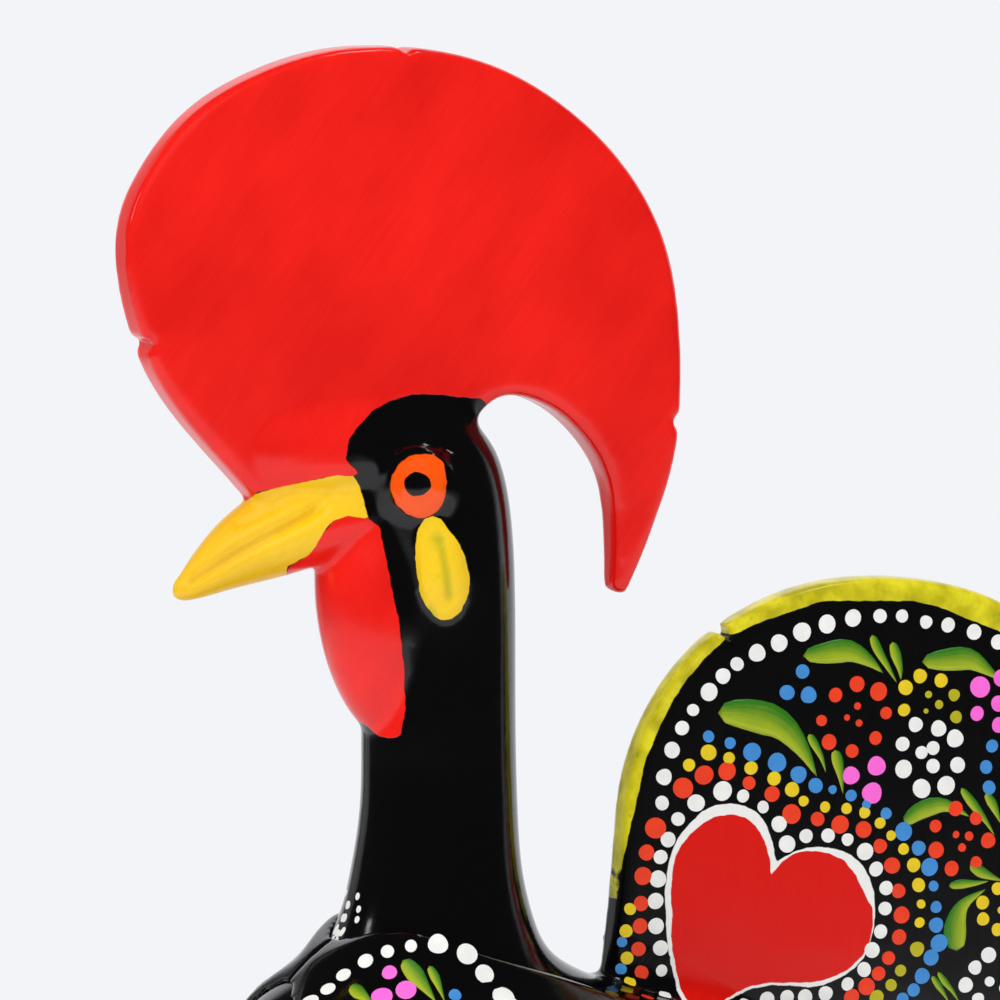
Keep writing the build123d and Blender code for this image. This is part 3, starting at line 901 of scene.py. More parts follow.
heart_fill = [
    (684.8, 999), (679.8, 985.6), (674.8, 962.4), (671.8, 937.5), (672.3, 912.7),
    (671, 894.4), (672.3, 872.9), (675.7, 856.3), (681.5, 844.7), (691.4, 833.1),
    (704.7, 821.5), (716.3, 815.7), (731.2, 814.3), (744.5, 817.3), (754.4, 824.8),
    (761.1, 836.4), (765.2, 846.3), (768.5, 859.6), (769.7, 873.7), (779.3, 862.9),
    (789.3, 854.6), (799.2, 851), (814.1, 850.1), (827.4, 852.5), (842.3, 859.6),
    (853.9, 874.5), (863.9, 896.1), (870.5, 907.7), (871.3, 922.6), (868, 940.9),
    (860.6, 955.8), (849, 967.4), (835.7, 974.9), (819.1, 980.7), (799.2, 982.7),
    (782.6, 982.7), (766, 982.3), (751.1, 985.6), (737.8, 991.4), (726.2, 998.9),
    (710, 1011), (697, 1026), (690, 1014),
]


def on_plane(pixels, face):
    """Where pixels lie on an upright plane, as places along X and Z."""
    place_of_camera, _, _, _ = camera_axes()
    spots = []
    for spot in pixels:
        ray = picture_ray(spot)
        hit = place_of_camera + ray * ((face - place_of_camera.y) / ray.y)
        spots.append((hit.x, hit.z))
    return spots


def on_circle(centre, reach, turn):
    """The place on a circle at an angle in radians."""
    return centre[0] + reach * math.cos(turn), centre[1] + reach * math.sin(turn)


def tail_field():
    """The tail's black field inside its rim, along X and Z."""
    field = on_plane(rim_line, tail_face)
    last = field[-1]
    turn = math.atan2(last[1] - tail_centre[1], last[0] - tail_centre[0])
    for step in range(1, 13):
        angle = turn - math.radians(10) * step
        field.append(on_circle(tail_centre, tail_reach - tail_rim, angle))
    field += [(52 * mm, 190 * mm), (-30 * mm, 190 * mm), (-30 * mm, 236 * mm)]
    return field


def tail_marks(spots):
    """How far points lie inside the tail's rim, its heart's outline and its heart."""
    flat = spots[:, [0, 2]]
    marks = {"rim_edge": -inside_distance(flat, tail_field()) / mm}
    for name, outline in (("heart_edge", heart_outline), ("heart_fill", heart_fill)):
        marks[name] = inside_distance(flat, on_plane(outline, tail_face)) / mm
    return marks


def tail_enamel():
    """Black gloss enamel with a brushed yellow rim and a red heart lined in white."""
    # The rim is thin over the black, so it turns olive, with green brush lines in it.
    colours = bpy.context.scene.rooster_enamels
    material, tree = new_material("gloss enamel on the cast tail")
    wobble = add_node(tree, "Math", (pattern(tree, 2.0 * mm), 0.5, -0.25), **scaled)
    streak = pattern(tree, 0.5 * mm, 3.0, stretch=(1.2, 1.2, 20))
    rim, line, fill = painted_regions(tree, wobble, "rim_edge", "heart_edge", "heart_fill")
    green = add_node(tree, "Math", (pattern(tree, 3 * mm, 3.0), 6.0, -3.9), **held)
    band = coats(tree, band_paint(tree), (green, colours.rim_green))
    colour = coats(
        tree, colours.black, (rim, band), (line, colours.white), (fill, colours.heart_red)
    )
    layers = add_node(tree, "Math", (rim, line), operation="ADD")
    layers = add_node(tree, "Math", (layers, fill), operation="ADD")
    enamel_finish(tree, colour, layers, 0.16, streak, 0.08)
    return material


# Wings, legs, base and fasteners


def coat(node, paint, slot, passes, grain):
    """Shows one casting as a fettled and painted skin."""
    form = recast((node,), grain)
    fettle(form, form.verts, passes)
    place(f"painted_{node}", into_mesh(form, f"painted_{node}"), [paint], [node], slot)


class ROOSTER_OT_wings(bpy.types.Operator):
    """The wing plates"""

    bl_idname = "rooster.wings"
    bl_label = "Wings"

    def execute(self, context):
        black = context.scene.rooster_enamels.black
        paint = plain_enamel("gloss black enamel on cast wings", black, black, 0.09)
        for node in ("left_wing", "right_wing"):
            coat(node, paint, "black_enamel", 8, spacing())
        return {"FINISHED"}


class ROOSTER_OT_legs(bpy.types.Operator):
    """The legs with their toes"""

    bl_idname = "rooster.legs"
    bl_label = "Legs"

    def execute(self, context):
        colours = context.scene.rooster_enamels
        paint = plain_enamel(
            "gloss yellow enamel on cast legs", colours.beak_yellow, colours.leg_shade, 0.14
        )
        for node in ("left_leg", "right_leg"):
            coat(node, paint, "yellow_enamel", 8, spacing())
        return {"FINISHED"}


def felt_cloth():
    """Pressed wool felt, matt and hairy, dyed green."""
    material, tree = new_material("pressed wool felt")
    fibre = pattern(tree, 0.35 * mm, 4.0, rough=0.7)
    wool = {
        "Base Color": coats(tree, from_hex("#1D4A2A"), (fibre, from_hex("#3C7A4C"))),
        "Roughness": 0.95,
        "Sheen Weight": 0.5,
        "Sheen Roughness": 0.5,
    }
    finish_surface(tree, fibre, 0.2 * mm, wool)
    return material


# Heights in millimetres that the base's yellow bands end at: the foot's upper edge and
# the neck's lower one
foot_band = 9.5
neck_band = 54.5


def base_enamel():
    """Black gloss enamel with a brushed yellow band round the foot and the neck."""
    colours = bpy.context.scene.rooster_enamels
    material, tree = new_material("gloss enamel on the cast base")
    wobble = add_node(tree, "Math", (pattern(tree, 5 * mm), 1.2, -0.6), **scaled)
    streak = pattern(tree, 0.5 * mm, 3.0, stretch=(20, 20, 1.2))
    spot = add_node(tree, "TexCoord", output="Object")
    height = add_node(tree, "SeparateXYZ", (spot,), "Z")
    level = add_node(tree, "Math", (height, 1 / mm, wobble), **scaled)
    foot = add_node(tree, "Math", (level, -sharpness, sharpness * foot_band), **held)
    neck = add_node(tree, "Math", (level, sharpness, -sharpness * neck_band), **held)
    both = add_node(tree, "Math", (foot, neck), operation="MAXIMUM")
    colour = coats(tree, colours.black, (both, band_paint(tree)))
    enamel_finish(tree, colour, both, 0.12, streak, 0.08)
    return material


class ROOSTER_OT_base(bpy.types.Operator):
    """The bell base and the felt under it"""

    bl_idname = "rooster.base"
    bl_label = "Base and felt"

    def execute(self, context):
        coat("base_bell", base_enamel(), "black_enamel", 5, spacing(1.4))
        low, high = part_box("felt_pad")
        form = bmesh.new()
        bmesh.ops.create_cone(
            form,
            cap_ends=True,
            segments=120,
            radius1=high.x - 0.3 * mm,
            radius2=high.x - 0.3 * mm,
            depth=high.z - low.z,
            matrix=Matrix.Translation((0, 0, (low.z + high.z) / 2)),
        )
        rims = [e for e in form.edges if abs(e.verts[0].co.z - e.verts[1].co.z) < 1e-6]
        bmesh.ops.bevel(
            form, geom=rims, offset=0.35 * mm, segments=3, profile=0.5, affect="EDGES",
            material=-1,
        )
        dice = random.Random(11)
        for vertex in form.verts:
            frayed = 1 + dice.uniform(-0.002, 0.002)
            vertex.co.x *= frayed
            vertex.co.y *= frayed
        mesh = into_mesh(form, "felt_disc")
        place("felt_disc", mesh, [felt_cloth()], ["felt_pad"], "felt")
        return {"FINISHED"}


def bare_metal(name, colour, roughness):
    """A bare fastener's metal with fine drawing or turning lines."""
    material, tree = new_material(name)
    line = pattern(tree, 0.2 * mm, 3.0, stretch=(1, 1, 12))
    brighter = [min(1, part * 1.25) for part in colour]
    metal = {
        "Base Color": coats(tree, colour, (pattern(tree, 1.5 * mm), brighter)),
        "Metallic": 1.0,
        "Roughness": add_node(tree, "Math", (line, 0.2, roughness - 0.1), **scaled),
    }
    finish_surface(tree, line, 0.03 * mm, metal, strength=0.6)
    return material


class ROOSTER_OT_fasteners(bpy.types.Operator):
    """Rods, nuts, washers, pins and rivets"""

    bl_idname = "rooster.fasteners"
    bl_label = "Fasteners"

    def execute(self, context):
        # Zinc plate is bluish and satin; the pins are plain drawn aluminium wire.
        zinc = bare_metal("zinc-plated steel", from_hex("#B4B8BC"), 0.32)
        wire = bare_metal("drawn aluminium wire", from_hex("#D4D4D6"), 0.28)
        black = context.scene.rooster_enamels.black
        paint = plain_enamel("gloss enamel over rivet heads", black, black)
        for names, metal in (
            (("leg_rods", "rod_washers", "rod_nuts"), zinc),
            (("seam_pins", "comb_pins", "tail_rivets"), wire),
            (("wing_rivets",), paint),
        ):
            for name in names:
                nodes[name].data.materials.clear()
                nodes[name].data.materials.append(metal)
        return {"FINISHED"}


# Painted dots and strokes


def skin_tree(names):
    """The skins of finished pieces, to find where paint lands on them."""
    together = bmesh.new()
    for name in names:
        together.from_mesh(bpy.data.objects[name].data)
    tree = BVHTree.FromBMesh(together)
    together.free()
    return tree


def picture_chart(tree):
    """Finds where a pixel of the picture lies on a skin."""
    eye = camera_axes()[0]

    def find(spot):
        return tree.ray_cast(eye, picture_ray(spot))[:2]

    return find


def side_chart(tree):
    """Finds where a place along X and Z, in millimetres, lies on the left of a skin."""

    def find(spot):
        start = Vector((spot[0] * mm, -0.2, spot[1] * mm))
        return tree.ray_cast(start, Vector((0, 1, 0)))[:2]

    return find


def round_chart(tree):
    """Finds where a turn in degrees and a height in millimetres lie on the base."""

    def find(spot):
        turn = math.radians(spot[0])
        way = Vector((math.cos(turn), math.sin(turn), 0))
        return tree.ray_cast(way * 0.2 + Vector((0, 0, spot[1] * mm)), -way)[:2]

    return find


# How high enamel stands above the skin. A small drop's height is a share of its radius.
drop_height = 0.13 * mm
drop_slope = 0.14
stroke_height = 0.09 * mm
# A bmesh slows down as it grows, so its marks are pressed a dozen at a time.
marks_in_hand = 12


class Brush:
    """Collects one area's dots and strokes and lays them on both sides."""

    def __init__(self, name, paints, seed, mirrored=True):
        self.name = name
        self.paints = paints
        self.order = list(paints)
        self.pressed = []
        self.dice = random.Random(seed)
        self.mirrored = mirrored
        self.load()

    def load(self):
        """Starts a small bmesh for the next few marks."""
        self.form = bmesh.new()
        self.layer = self.form.loops.layers.uv.new("stroke")

    def press(self):
        """Adds the marks made since the last press to the area's mesh."""
        mesh = into_mesh(self.form, "marks")
        self.load()
        self.pressed.append(mesh)

    def dots(self, chart, paint, spots, unit):
        """Lays domed dots at (across, up, radius) spots."""
        for i, (across, up, radius) in enumerate(spots):
            hit, normal = chart((across, up))
            if hit is None:
                continue
            if i % marks_in_hand == marks_in_hand - 1:
                self.press()
            size = radius * unit * self.dice.uniform(0.95, 1.06)
            self.dot(hit, normal, size, paint)
            if self.mirrored:
                flip = Vector((1, -1, 1))
                slip = Vector([self.dice.uniform(-0.15, 0.15) * mm for _ in range(3)])
                across_slip = slip - normal * slip.dot(normal)
                size = radius * unit * self.dice.uniform(0.93, 1.08)
                self.dot((hit + across_slip) * flip, normal * flip, size, paint)

    def dot(self, hit, normal, size, paint):
        """One drop of enamel, round but not true."""
        made = bmesh.ops.create_uvsphere(self.form, u_segments=16, v_segments=3, radius=1)
        lean = self.dice.uniform(0, math.tau)
        lobes = self.dice.choice((2, 2, 3))
        stretch = self.dice.uniform(0.01, 0.05)
        for vertex in made["verts"]:
            turn = math.atan2(vertex.co.y, vertex.co.x)
            swell = 1.15 + stretch * math.sin(lobes * turn + lean)
            vertex.co.x *= swell
            vertex.co.y *= swell
        height = min(drop_height, size * drop_slope)
        spin = Matrix.Rotation(self.dice.uniform(0, math.tau), 4, "Z")
        upright = normal.to_track_quat("Z", "Y").to_matrix().to_4x4()
        scale = Matrix.Diagonal((size, size, height, 1))
        bmesh.ops.transform(
            self.form,
            matrix=Matrix.Translation(hit) @ upright @ spin @ scale,
            verts=made["verts"],
        )
        for face in {f for v in made["verts"] for f in v.link_faces}:
            face.material_index = self.order.index(paint)
            face.smooth = False

    def stroke(self, chart, paint, spine, width, up=1, belly=0.4):
        """One press of a brush along a spine, full at its belly and drawn to a tip."""
        self.press()
        parts = bmesh.ops.create_uvsphere(self.form, u_segments=10, v_segments=12, radius=1)
        verts = parts["verts"]
        spots = {}
        for vertex in verts:
            share = min(max(math.acos(min(max(vertex.co.z, -1), 1)) / math.pi, 0), 1)
            ring = math.sin(share * math.pi)
            side = vertex.co.x / ring if ring > 1e-4 else 0.0
            rise = vertex.co.y / ring if ring > 1e-4 else 0.0
            spots[vertex] = (share, side, rise)
        lost = False
        for vertex, (share, side, rise) in spots.items():
            point, along = on_spine(spine, share)
            across = Vector((along.y, -along.x)) * up
            swell = stroke_width(share, belly)
            spot = point + across * (side * swell * width)
            hit, normal = chart((spot.x, spot.y))
            if hit is None:
                lost = True
                continue
            vertex.co = hit + normal * (rise * stroke_height * min(1, swell + 0.15))
        if lost:
            bmesh.ops.delete(self.form, geom=verts, context="VERTS")
            return
        faces = {f for v in verts for f in v.link_faces}
        for face in faces:
            face.material_index = self.order.index(paint)
            face.smooth = True
            for corner in face.loops:
                share, side, _ = spots[corner.vert]
                corner[self.layer].uv = (share, side / 2 + 0.5)
        bmesh.ops.recalc_face_normals(self.form, faces=list(faces))
        if self.mirrored:
            twin = bmesh.ops.duplicate(self.form, geom=list(faces) + list(verts))["geom"]
            for part in twin:
                if isinstance(part, bmesh.types.BMVert):
                    part.co.y *= -1
            turned = [f for f in twin if isinstance(f, bmesh.types.BMFace)]
            bmesh.ops.reverse_faces(self.form, faces=turned)

    def finish(self):
        """Shows the area's paint as one piece."""
        self.press()
        together = bmesh.new()
        for marks in self.pressed:
            together.from_mesh(marks)
            bpy.data.meshes.remove(marks)
        mesh = into_mesh(together, self.name)
        place(self.name, mesh, self.paints.values())


def on_spine(spine, share):
    """A point and direction along a smooth line through a few points."""
    count = len(spine) - 1
    at = min(int(share * count), count - 1)
    part = share * count - at
    before = Vector(spine[max(at - 1, 0)])
    first, last = Vector(spine[at]), Vector(spine[at + 1])
    after = Vector(spine[min(at + 2, count)])
    lead, trail = (last - before) / 2, (after - first) / 2
    a, b = part * part, part * part * part
    point = (
        first * (2 * b - 3 * a + 1)
        + lead * (b - 2 * a + part)
        + last * (3 * a - 2 * b)
        + trail * (b - a)
    )
    way = (
        first * (6 * a - 6 * part)
        + lead * (3 * a - 4 * part + 1)
        + last * (6 * part - 6 * a)
        + trail * (3 * a - 2 * part)
    )
    if way.length < 1e-9:
        way = last - first
    return point, way.normalized()


def stroke_width(share, belly):
    """The share of a stroke's full width: round at its start and drawn out to a tip."""
    if share < belly:
        return math.sqrt(max(0.0, 1 - (1 - share / belly) ** 2))
    rest = (share - belly) / (1 - belly)
    return (1 - rest) ** 1.15 * (1 + 0.35 * rest)


def flower(centre, reach, size, petals=8, seeds=3, turn=0.0):
    """A ring of dots with a few smaller ones in its middle."""
    spots = []
    for i in range(petals):
        spots.append((*on_circle(centre, reach, turn + math.tau * i / petals), size))
    for i in range(seeds):
        angle = turn + 0.4 + math.tau * i / seeds
        spots.append((*on_circle(centre, reach * 0.28, angle), size * 0.5))
    return spots


def dot_enamel(name, colour):
    """A drop of gloss enamel set from the end of a stick, with a brushed heart to it."""
    material, tree = new_material(name)
    grain = pattern(tree, 0.6 * mm)
    tone = add_node(tree, "Math", (pattern(tree, 3 * mm, 1.0), 0.24, 0.86), **scaled)
    shade = add_node(tree, "HueSaturation", {"Color": colour, "Value": tone, "Fac": 1.0})
    gloss = add_node(tree, "Math", (grain, 0.1, 0.26), **scaled)
    drop = {"Base Color": shade, "Roughness": gloss, "IOR": enamel_ior}
    finish_surface(tree, grain, 0.04 * mm, drop)
    return material


def leaf_enamel():
    """A leaf laid with one brush loaded dark green on one side and yellow on the other."""
    colours = bpy.context.scene.rooster_enamels
    material, tree = new_material("two-tone brushed leaf enamel")
    place_on = add_node(tree, "UVMap", uv_map="stroke")
    across = add_node(tree, "SeparateXYZ", (place_on,), "Y")
    drawn = add_node(
        tree, "Mapping", {"Vector": place_on, "Scale": (1.2, 11, 1)}, vector_type="POINT"
    )
    noise = {"Vector": drawn, "Scale": 1.0, "Detail": 3.0}
    hairs = add_node(tree, "TexNoise", noise, "Fac")
    side = add_node(tree, "Math", (across, -0.42), operation="ADD")
    side = add_node(tree, "Math", (hairs, 0.55, side), **scaled)
    side = add_node(tree, "Math", (pattern(tree, 4 * mm), 0.3, side), **scaled)
    side = add_node(tree, "Math", (side, 1.3, -0.15), **held)
    paint = {
        "Base Color": coats(tree, colours.leaf_light, (side, colours.leaf_dark)),
        "Roughness": add_node(tree, "Math", (hairs, 0.15, 0.22), **scaled),
        "IOR": enamel_ior,
    }
    finish_surface(tree, hairs, 0.05 * mm, paint)
    return material


def decorating_paints():
    """The decorator's paints by name, in the order of their places on a piece."""
    colours = bpy.context.scene.rooster_enamels
    paints = {}
    for name, kind, colour in (
        ("white", "white", colours.white),
        ("red", "red", colours.dot_red),
        ("yellow", "yellow", colours.dot_yellow),
        ("olive", "thin yellow", colours.dot_olive),
        ("blue", "blue", colours.blue),
        ("pink", "pink", colours.pink),
    ):
        paints[name] = dot_enamel(f"{kind} enamel dots", colour)
    paints["leaf"] = leaf_enamel()
    return paints


# Dots on the tail as (pixel across, pixel down, radius in pixels). Those past the
# picture's edge carry the pattern on where the photograph stops.
tail_dots = {
    "white": [
        (662, 803, 7.5), (664, 777, 8), (672, 750, 8.5), (682, 728, 7.5), (693, 710, 6.5),
        (709, 692, 9), (723, 676, 8), (737, 664, 7), (757, 653, 9), (779, 643, 8.5),
        (802, 632, 9.5), (827, 624, 9.5), (853, 618, 8.5), (880, 616, 7.5), (902, 616, 7),
        (926, 622, 7), (948, 625, 7.5), (974, 632, 8), (998, 642, 7.5),
        (678, 819, 7), (696, 803, 9.5), (722.5, 791, 9.5), (743, 796, 6.5), (763, 807, 6.3),
        (779, 824, 8), (787, 844, 8.5), (806, 836, 7), (828, 835.5, 7.5),
        (847.5, 839.5, 6.5),
        (865, 851.5, 8.5), (876, 869, 7.5), (886, 888, 7), (885, 908.5, 7.5),
        (880.5, 931.5, 7), (872, 950, 8), (864, 969.5, 8), (847.5, 984, 6.5),
        (825.5, 993.5, 7.5), (805, 997, 8), (787, 997, 7.5), (767, 999.5, 8),
        (668, 839.5, 7.5), (660.5, 857, 7), (658, 879, 8.5), (655.5, 901, 8.5),
        (656, 926, 8.5), (660.5, 948, 8), (661.5, 970.5, 6), (665, 995.5, 7),
        (671, 1016, 7), (680, 1034, 7), (744, 1005, 7), (727, 1016, 7), (714, 1030, 7),
        (915.5, 724.5, 7.5), (938.5, 728.5, 8.6), (955, 738.5, 9), (902.5, 744, 7.7),
        (921.5, 752.5, 7), (933, 748, 7.5), (933, 766, 7.2), (957.5, 765, 8),
        (903.5, 769, 8.8), (921.5, 788.5, 9.8), (946, 785.5, 9.3),
        (988.5, 955, 8), (975, 967.5, 7.5), (965.5, 985, 8), (989.5, 981.5, 5.5),
        (978, 999, 7), (1004, 988, 5.5), (1012, 960, 8), (1026, 978, 8), (1018, 1000, 8),
    ],
    "red": [
        (683, 788, 10.5), (704, 775, 9.5), (727, 771, 9.5), (749, 783, 7), (772, 794, 8.5),
        (791.5, 814, 10.5), (817.5, 819, 7.5), (840, 824.5, 9), (863.5, 829.5, 8.5),
        (880, 846, 7.3), (892, 865.5, 8.4), (898.5, 891, 7.5), (901.5, 915, 8.6),
        (899, 937, 8.4), (888.5, 958, 7), (878.5, 973.5, 7.7), (866.5, 986.5, 8.6),
        (851.5, 997, 8), (655.5, 828, 10.5), (646.5, 852.5, 8.5), (643, 876, 9),
        (641, 903.5, 7.5), (640, 926, 7.5), (638.5, 949, 7.5), (641.5, 972.5, 7.5),
        (647.5, 997, 7), (654, 1018, 7.5), (663, 1038, 7.5), (830, 1009, 8), (808, 1015, 8),
        (786, 1016, 8), (765, 1019, 8), (747, 1026, 8),
        (835.5, 695, 7.8), (857, 684, 8.5), (878.5, 691.5, 9), (886, 713, 6.5),
        (875.5, 738, 6.8), (852, 751, 7.2), (829, 742, 8), (821.5, 720.5, 6),
        (857.5, 706, 3.8), (847, 717.5, 3.2), (859, 723, 3.6),
        (935.5, 826, 6.7), (936, 850, 8.5), (951.5, 868.5, 8), (976, 862.5, 6.5),
        (988, 840.5, 8.5), (976, 818, 7), (955.5, 808.5, 7.5), (956, 834.5, 3.8),
        (969, 836, 5), (962, 847.5, 4.5),
        *flower((1072, 757), 30, 8, turn=0.3), *flower((1108, 935), 27, 7.5, turn=0.1),
    ],
    "yellow": [
        (689, 765, 6.5), (708.5, 752.5, 8), (729, 758, 6.3), (751, 768, 6.8),
        (774, 778.5, 7), (792, 789.5, 7.5), (803.5, 801, 5.5), (825, 807, 5.5),
        (846.5, 808.5, 5.6), (864.5, 812.5, 6), (880, 823, 5.7), (891, 835.5, 5.2),
        (903.5, 849, 5.8), (913.5, 865, 7), (918.5, 885, 7.4), (921, 904, 5),
        (919.5, 922.5, 5.7), (630, 909, 6), (626, 931, 6.5), (627, 958, 6.5),
        (630, 982, 6), (905.5, 687.5, 8.2), (920, 676, 7.5), (941, 680.5, 7),
        (904, 710, 6.7), (982.5, 902.5, 7), (983, 919, 7), (997.5, 888.5, 6.5),
        (997.5, 929.5, 6.5), (1014, 893, 6.5), (1024, 909, 7), (1015, 926, 6.5),
        (1001, 910, 4), (1008, 903, 3.5), *flower((1092, 845), 26, 7, petals=7),
    ],
    "olive": [
        (917, 949, 8), (900.5, 970.5, 6), (891, 985, 6.5), (876.5, 997.5, 8),
        (636, 1005, 6.5), (643, 1027, 6.5), (954, 695, 6.6), (956, 717, 6.2),
        (928.5, 694.5, 4), (939, 704.5, 4.8), (926, 711, 2.8), (858, 1014, 7),
        (836, 1026, 7), (812, 1033, 7),
    ],
    "blue": [
        (708.5, 736.5, 6.2), (730, 743, 6), (752, 752, 10), (777, 762.5, 9.5),
        (798.5, 774.5, 8.5), (815.5, 785.5, 7.5), (832.5, 789.5, 4.5), (851, 795.5, 6),
        (866.5, 804.5, 5), (886, 813.5, 6), (903.5, 831.5, 9.2), (918.5, 848, 8),
        (929.5, 867, 9), (933.5, 886, 5.5), (936, 907, 6), (936, 925, 7.8), (939, 943, 8.8),
        (931, 957.5, 8), (922, 976, 8), (913.5, 990, 6.7), (902.5, 999, 6.5),
        (888, 1012, 7), (868, 1026, 7), (802.5, 671.5, 7.5), (787, 692.5, 8),
        (808.5, 695, 8.8), (622, 942, 5.5), (621, 969, 6), (992, 746, 7), (986, 767, 7.2),
        (989, 787.5, 7.4), (1040, 820, 7), (1050, 838, 7.5), (1030, 838, 7),
        (1062, 1000, 7), (1052, 985, 7), (1074, 984, 7),
    ],
    "pink": [
        (876.5, 766, 9.7), (851, 775.5, 9.5), (872, 793, 11), (980, 687, 10.6),
        (977, 713.5, 7.8), (998.5, 703.5, 8), (1001, 678, 9), (1020, 690, 9),
        (1018, 712, 8.5), (999, 725, 8), (1040, 900, 9), (1060, 912, 9.5), (1052, 890, 9),
    ],
}

# Strokes on the tail as (spine in pixels, half width in pixels, where it is widest)
tail_leaves = [
    ([(718, 713), (745, 714), (779, 724), (802, 749), (817, 777)], 17.5, 0.42),
    ([(803, 656), (826, 653), (849, 651), (869, 661), (883, 673)], 12.5, 0.45),
    ([(922, 662), (944, 660), (968, 659), (986, 669), (1001, 681)], 12.5, 0.45),
    ([(872, 635), (878, 650), (889, 669), (897, 683)], 5, 0.3),
    ([(892.5, 642), (896, 655), (900, 669), (901, 680)], 5.5, 0.35),
    ([(809, 734), (815, 745), (822, 759), (826, 773)], 4.5, 0.3),
    ([(835, 750), (838, 763), (841, 778), (843, 794)], 6, 0.3),
    ([(904, 824), (918, 812), (939, 805), (956, 809), (970, 817)], 9.5, 0.4),
    ([(961, 788), (973, 804), (985, 820), (995, 836)], 5, 0.35),
    ([(986, 793), (992, 803), (997, 814), (1001, 824)], 5, 0.35),
    ([(957, 951), (955, 928), (963, 905), (986, 889)], 12, 0.32),
    ([(949, 886), (962, 884), (976, 883), (989, 881)], 5, 0.35),
    ([(970, 865), (981, 872), (992, 877), (1003, 881)], 6, 0.35),
    ([(932, 976), (938, 985), (944, 994), (950, 1004)], 3.5, 0.35),
    ([(938, 972), (945, 982), (953, 992), (960, 1004)], 3.5, 0.35),
    ([(1030, 668), (1052, 672), (1074, 690), (1084, 712)], 12, 0.42),
    ([(1046, 728), (1036, 744), (1034, 764), (1040, 784)], 5, 0.35),
    ([(1120, 770), (1130, 792), (1128, 814), (1116, 828)], 10, 0.42),
    ([(1060, 806), (1066, 816), (1074, 824), (1082, 828)], 4.5, 0.35),
    ([(1046, 866), (1060, 868), (1074, 864), (1086, 856)], 5, 0.35),
    ([(1130, 868), (1140, 888), (1136, 908), (1124, 922)], 10, 0.42),
    ([(1050, 934), (1062, 946), (1076, 950), (1090, 946)], 5, 0.35),
    ([(1040, 950), (1050, 962), (1060, 968), (1074, 968)], 4.5, 0.35),
]

# The near wing's shoulder, which the picture shows
wing_dots = {
    "white": [
        (438, 944, 10), (467, 954, 11.2), (484.5, 974, 10.3), (503.5, 997, 11),
        (411, 946, 6.5), (387.5, 951.5, 6.8), (365.5, 961, 8), (343.5, 975, 8),
        (328, 989, 7.5), (310, 1002, 9),
    ],
    "pink": [
        (389.5, 972.5, 7.3), (406, 990, 10.8), (382, 997, 10.5), (372, 1014, 10),
        (396, 1018, 10), (418, 1010, 10.5), (412, 1032, 10),
    ],
    "blue": [(455, 995, 6.5), (466, 1010, 6.5), (448, 1012, 6)],
}
wing_leaves = [
    ([(403, 960), (414, 973), (425, 987), (436, 1002)], 9.5, 0.38),
    ([(429, 966), (435, 977), (440, 989), (445, 1002)], 5, 0.35),
    ([(350, 986), (358, 992), (366, 998), (374, 1006)], 7.5, 0.35),
]
# The rest of the wing, as shares of its length and height
wing_border = [
    (0.075, 0.78), (0.06, 0.69), (0.06, 0.6), (0.075, 0.51), (0.1, 0.42), (0.14, 0.34),
    (0.19, 0.27), (0.25, 0.21), (0.31, 0.165), (0.37, 0.125), (0.43, 0.1), (0.49, 0.085),
    (0.55, 0.08), (0.61, 0.08), (0.67, 0.09), (0.73, 0.11), (0.79, 0.145), (0.845, 0.19),
    (0.89, 0.24), (0.92, 0.3), (0.89, 0.37), (0.85, 0.43), (0.81, 0.485), (0.765, 0.54),
    (0.715, 0.59), (0.665, 0.64), (0.61, 0.69), (0.555, 0.73), (0.5, 0.765),
    (0.445, 0.795), (0.39, 0.825), (0.34, 0.855),
]
# Flowers as (paint, centre, dot radius in millimetres, turn)
wing_flowers = [
    ("red", (0.4, 0.56), 1.45, 0.2), ("yellow", (0.24, 0.42), 1.3, 0.5),
    ("blue", (0.56, 0.42), 1.3, 0.1), ("pink", (0.42, 0.27), 1.35, 0.3),
]
# Leaves as (spine, half width in millimetres)
wing_sprigs = [
    ([(0.28, 0.68), (0.33, 0.71), (0.38, 0.7), (0.43, 0.66)], 2.0),
    ([(0.1, 0.55), (0.13, 0.52), (0.15, 0.48), (0.17, 0.43)], 1.7),
    ([(0.3, 0.5), (0.31, 0.45), (0.33, 0.41), (0.36, 0.38)], 1.3),
    ([(0.49, 0.61), (0.53, 0.6), (0.57, 0.56), (0.59, 0.52)], 1.9),
    ([(0.24, 0.32), (0.28, 0.29), (0.31, 0.28), (0.35, 0.28)], 1.8),
    ([(0.5, 0.33), (0.51, 0.29), (0.54, 0.25), (0.58, 0.23)], 1.4),
    ([(0.46, 0.44), (0.47, 0.4), (0.48, 0.37), (0.46, 0.33)], 1.1),
]
wing_feathers = [
    ("yellow", [(0.88, 0.3), (0.8, 0.34), (0.72, 0.4), (0.65, 0.47)]),
    ("red", [(0.83, 0.24), (0.76, 0.28), (0.69, 0.34), (0.63, 0.4)]),
    ("blue", [(0.77, 0.19), (0.71, 0.23), (0.65, 0.29), (0.6, 0.35)]),
    ("white", [(0.7, 0.15), (0.65, 0.19), (0.6, 0.25), (0.56, 0.3)]),
]

# A row down the breast, in pixels of the picture
breast_dots = [
    (346.5, 893, 4), (347.5, 905, 4.5), (343, 903, 4), (345, 918, 4.5), (339.5, 913.5, 4),
    (342, 932.5, 4.5), (337, 928, 4), (338.5, 934, 4), (332.5, 939.5, 4.5), (328, 951.5, 5),
    (324, 960.5, 5), (317, 966, 5), (312.5, 979.5, 5),
]


# Half of the pair of leaves at a flower on the base, as (degrees, millimetres up)
base_leaf = [(7.5, 24), (12, 25.5), (16, 29.5), (18.5, 35)]
# The base's radius at its flowers, and the flowers' height, in millimetres
base_flower_radius = 47
base_flower_height = 27
flower_reach = 5.2
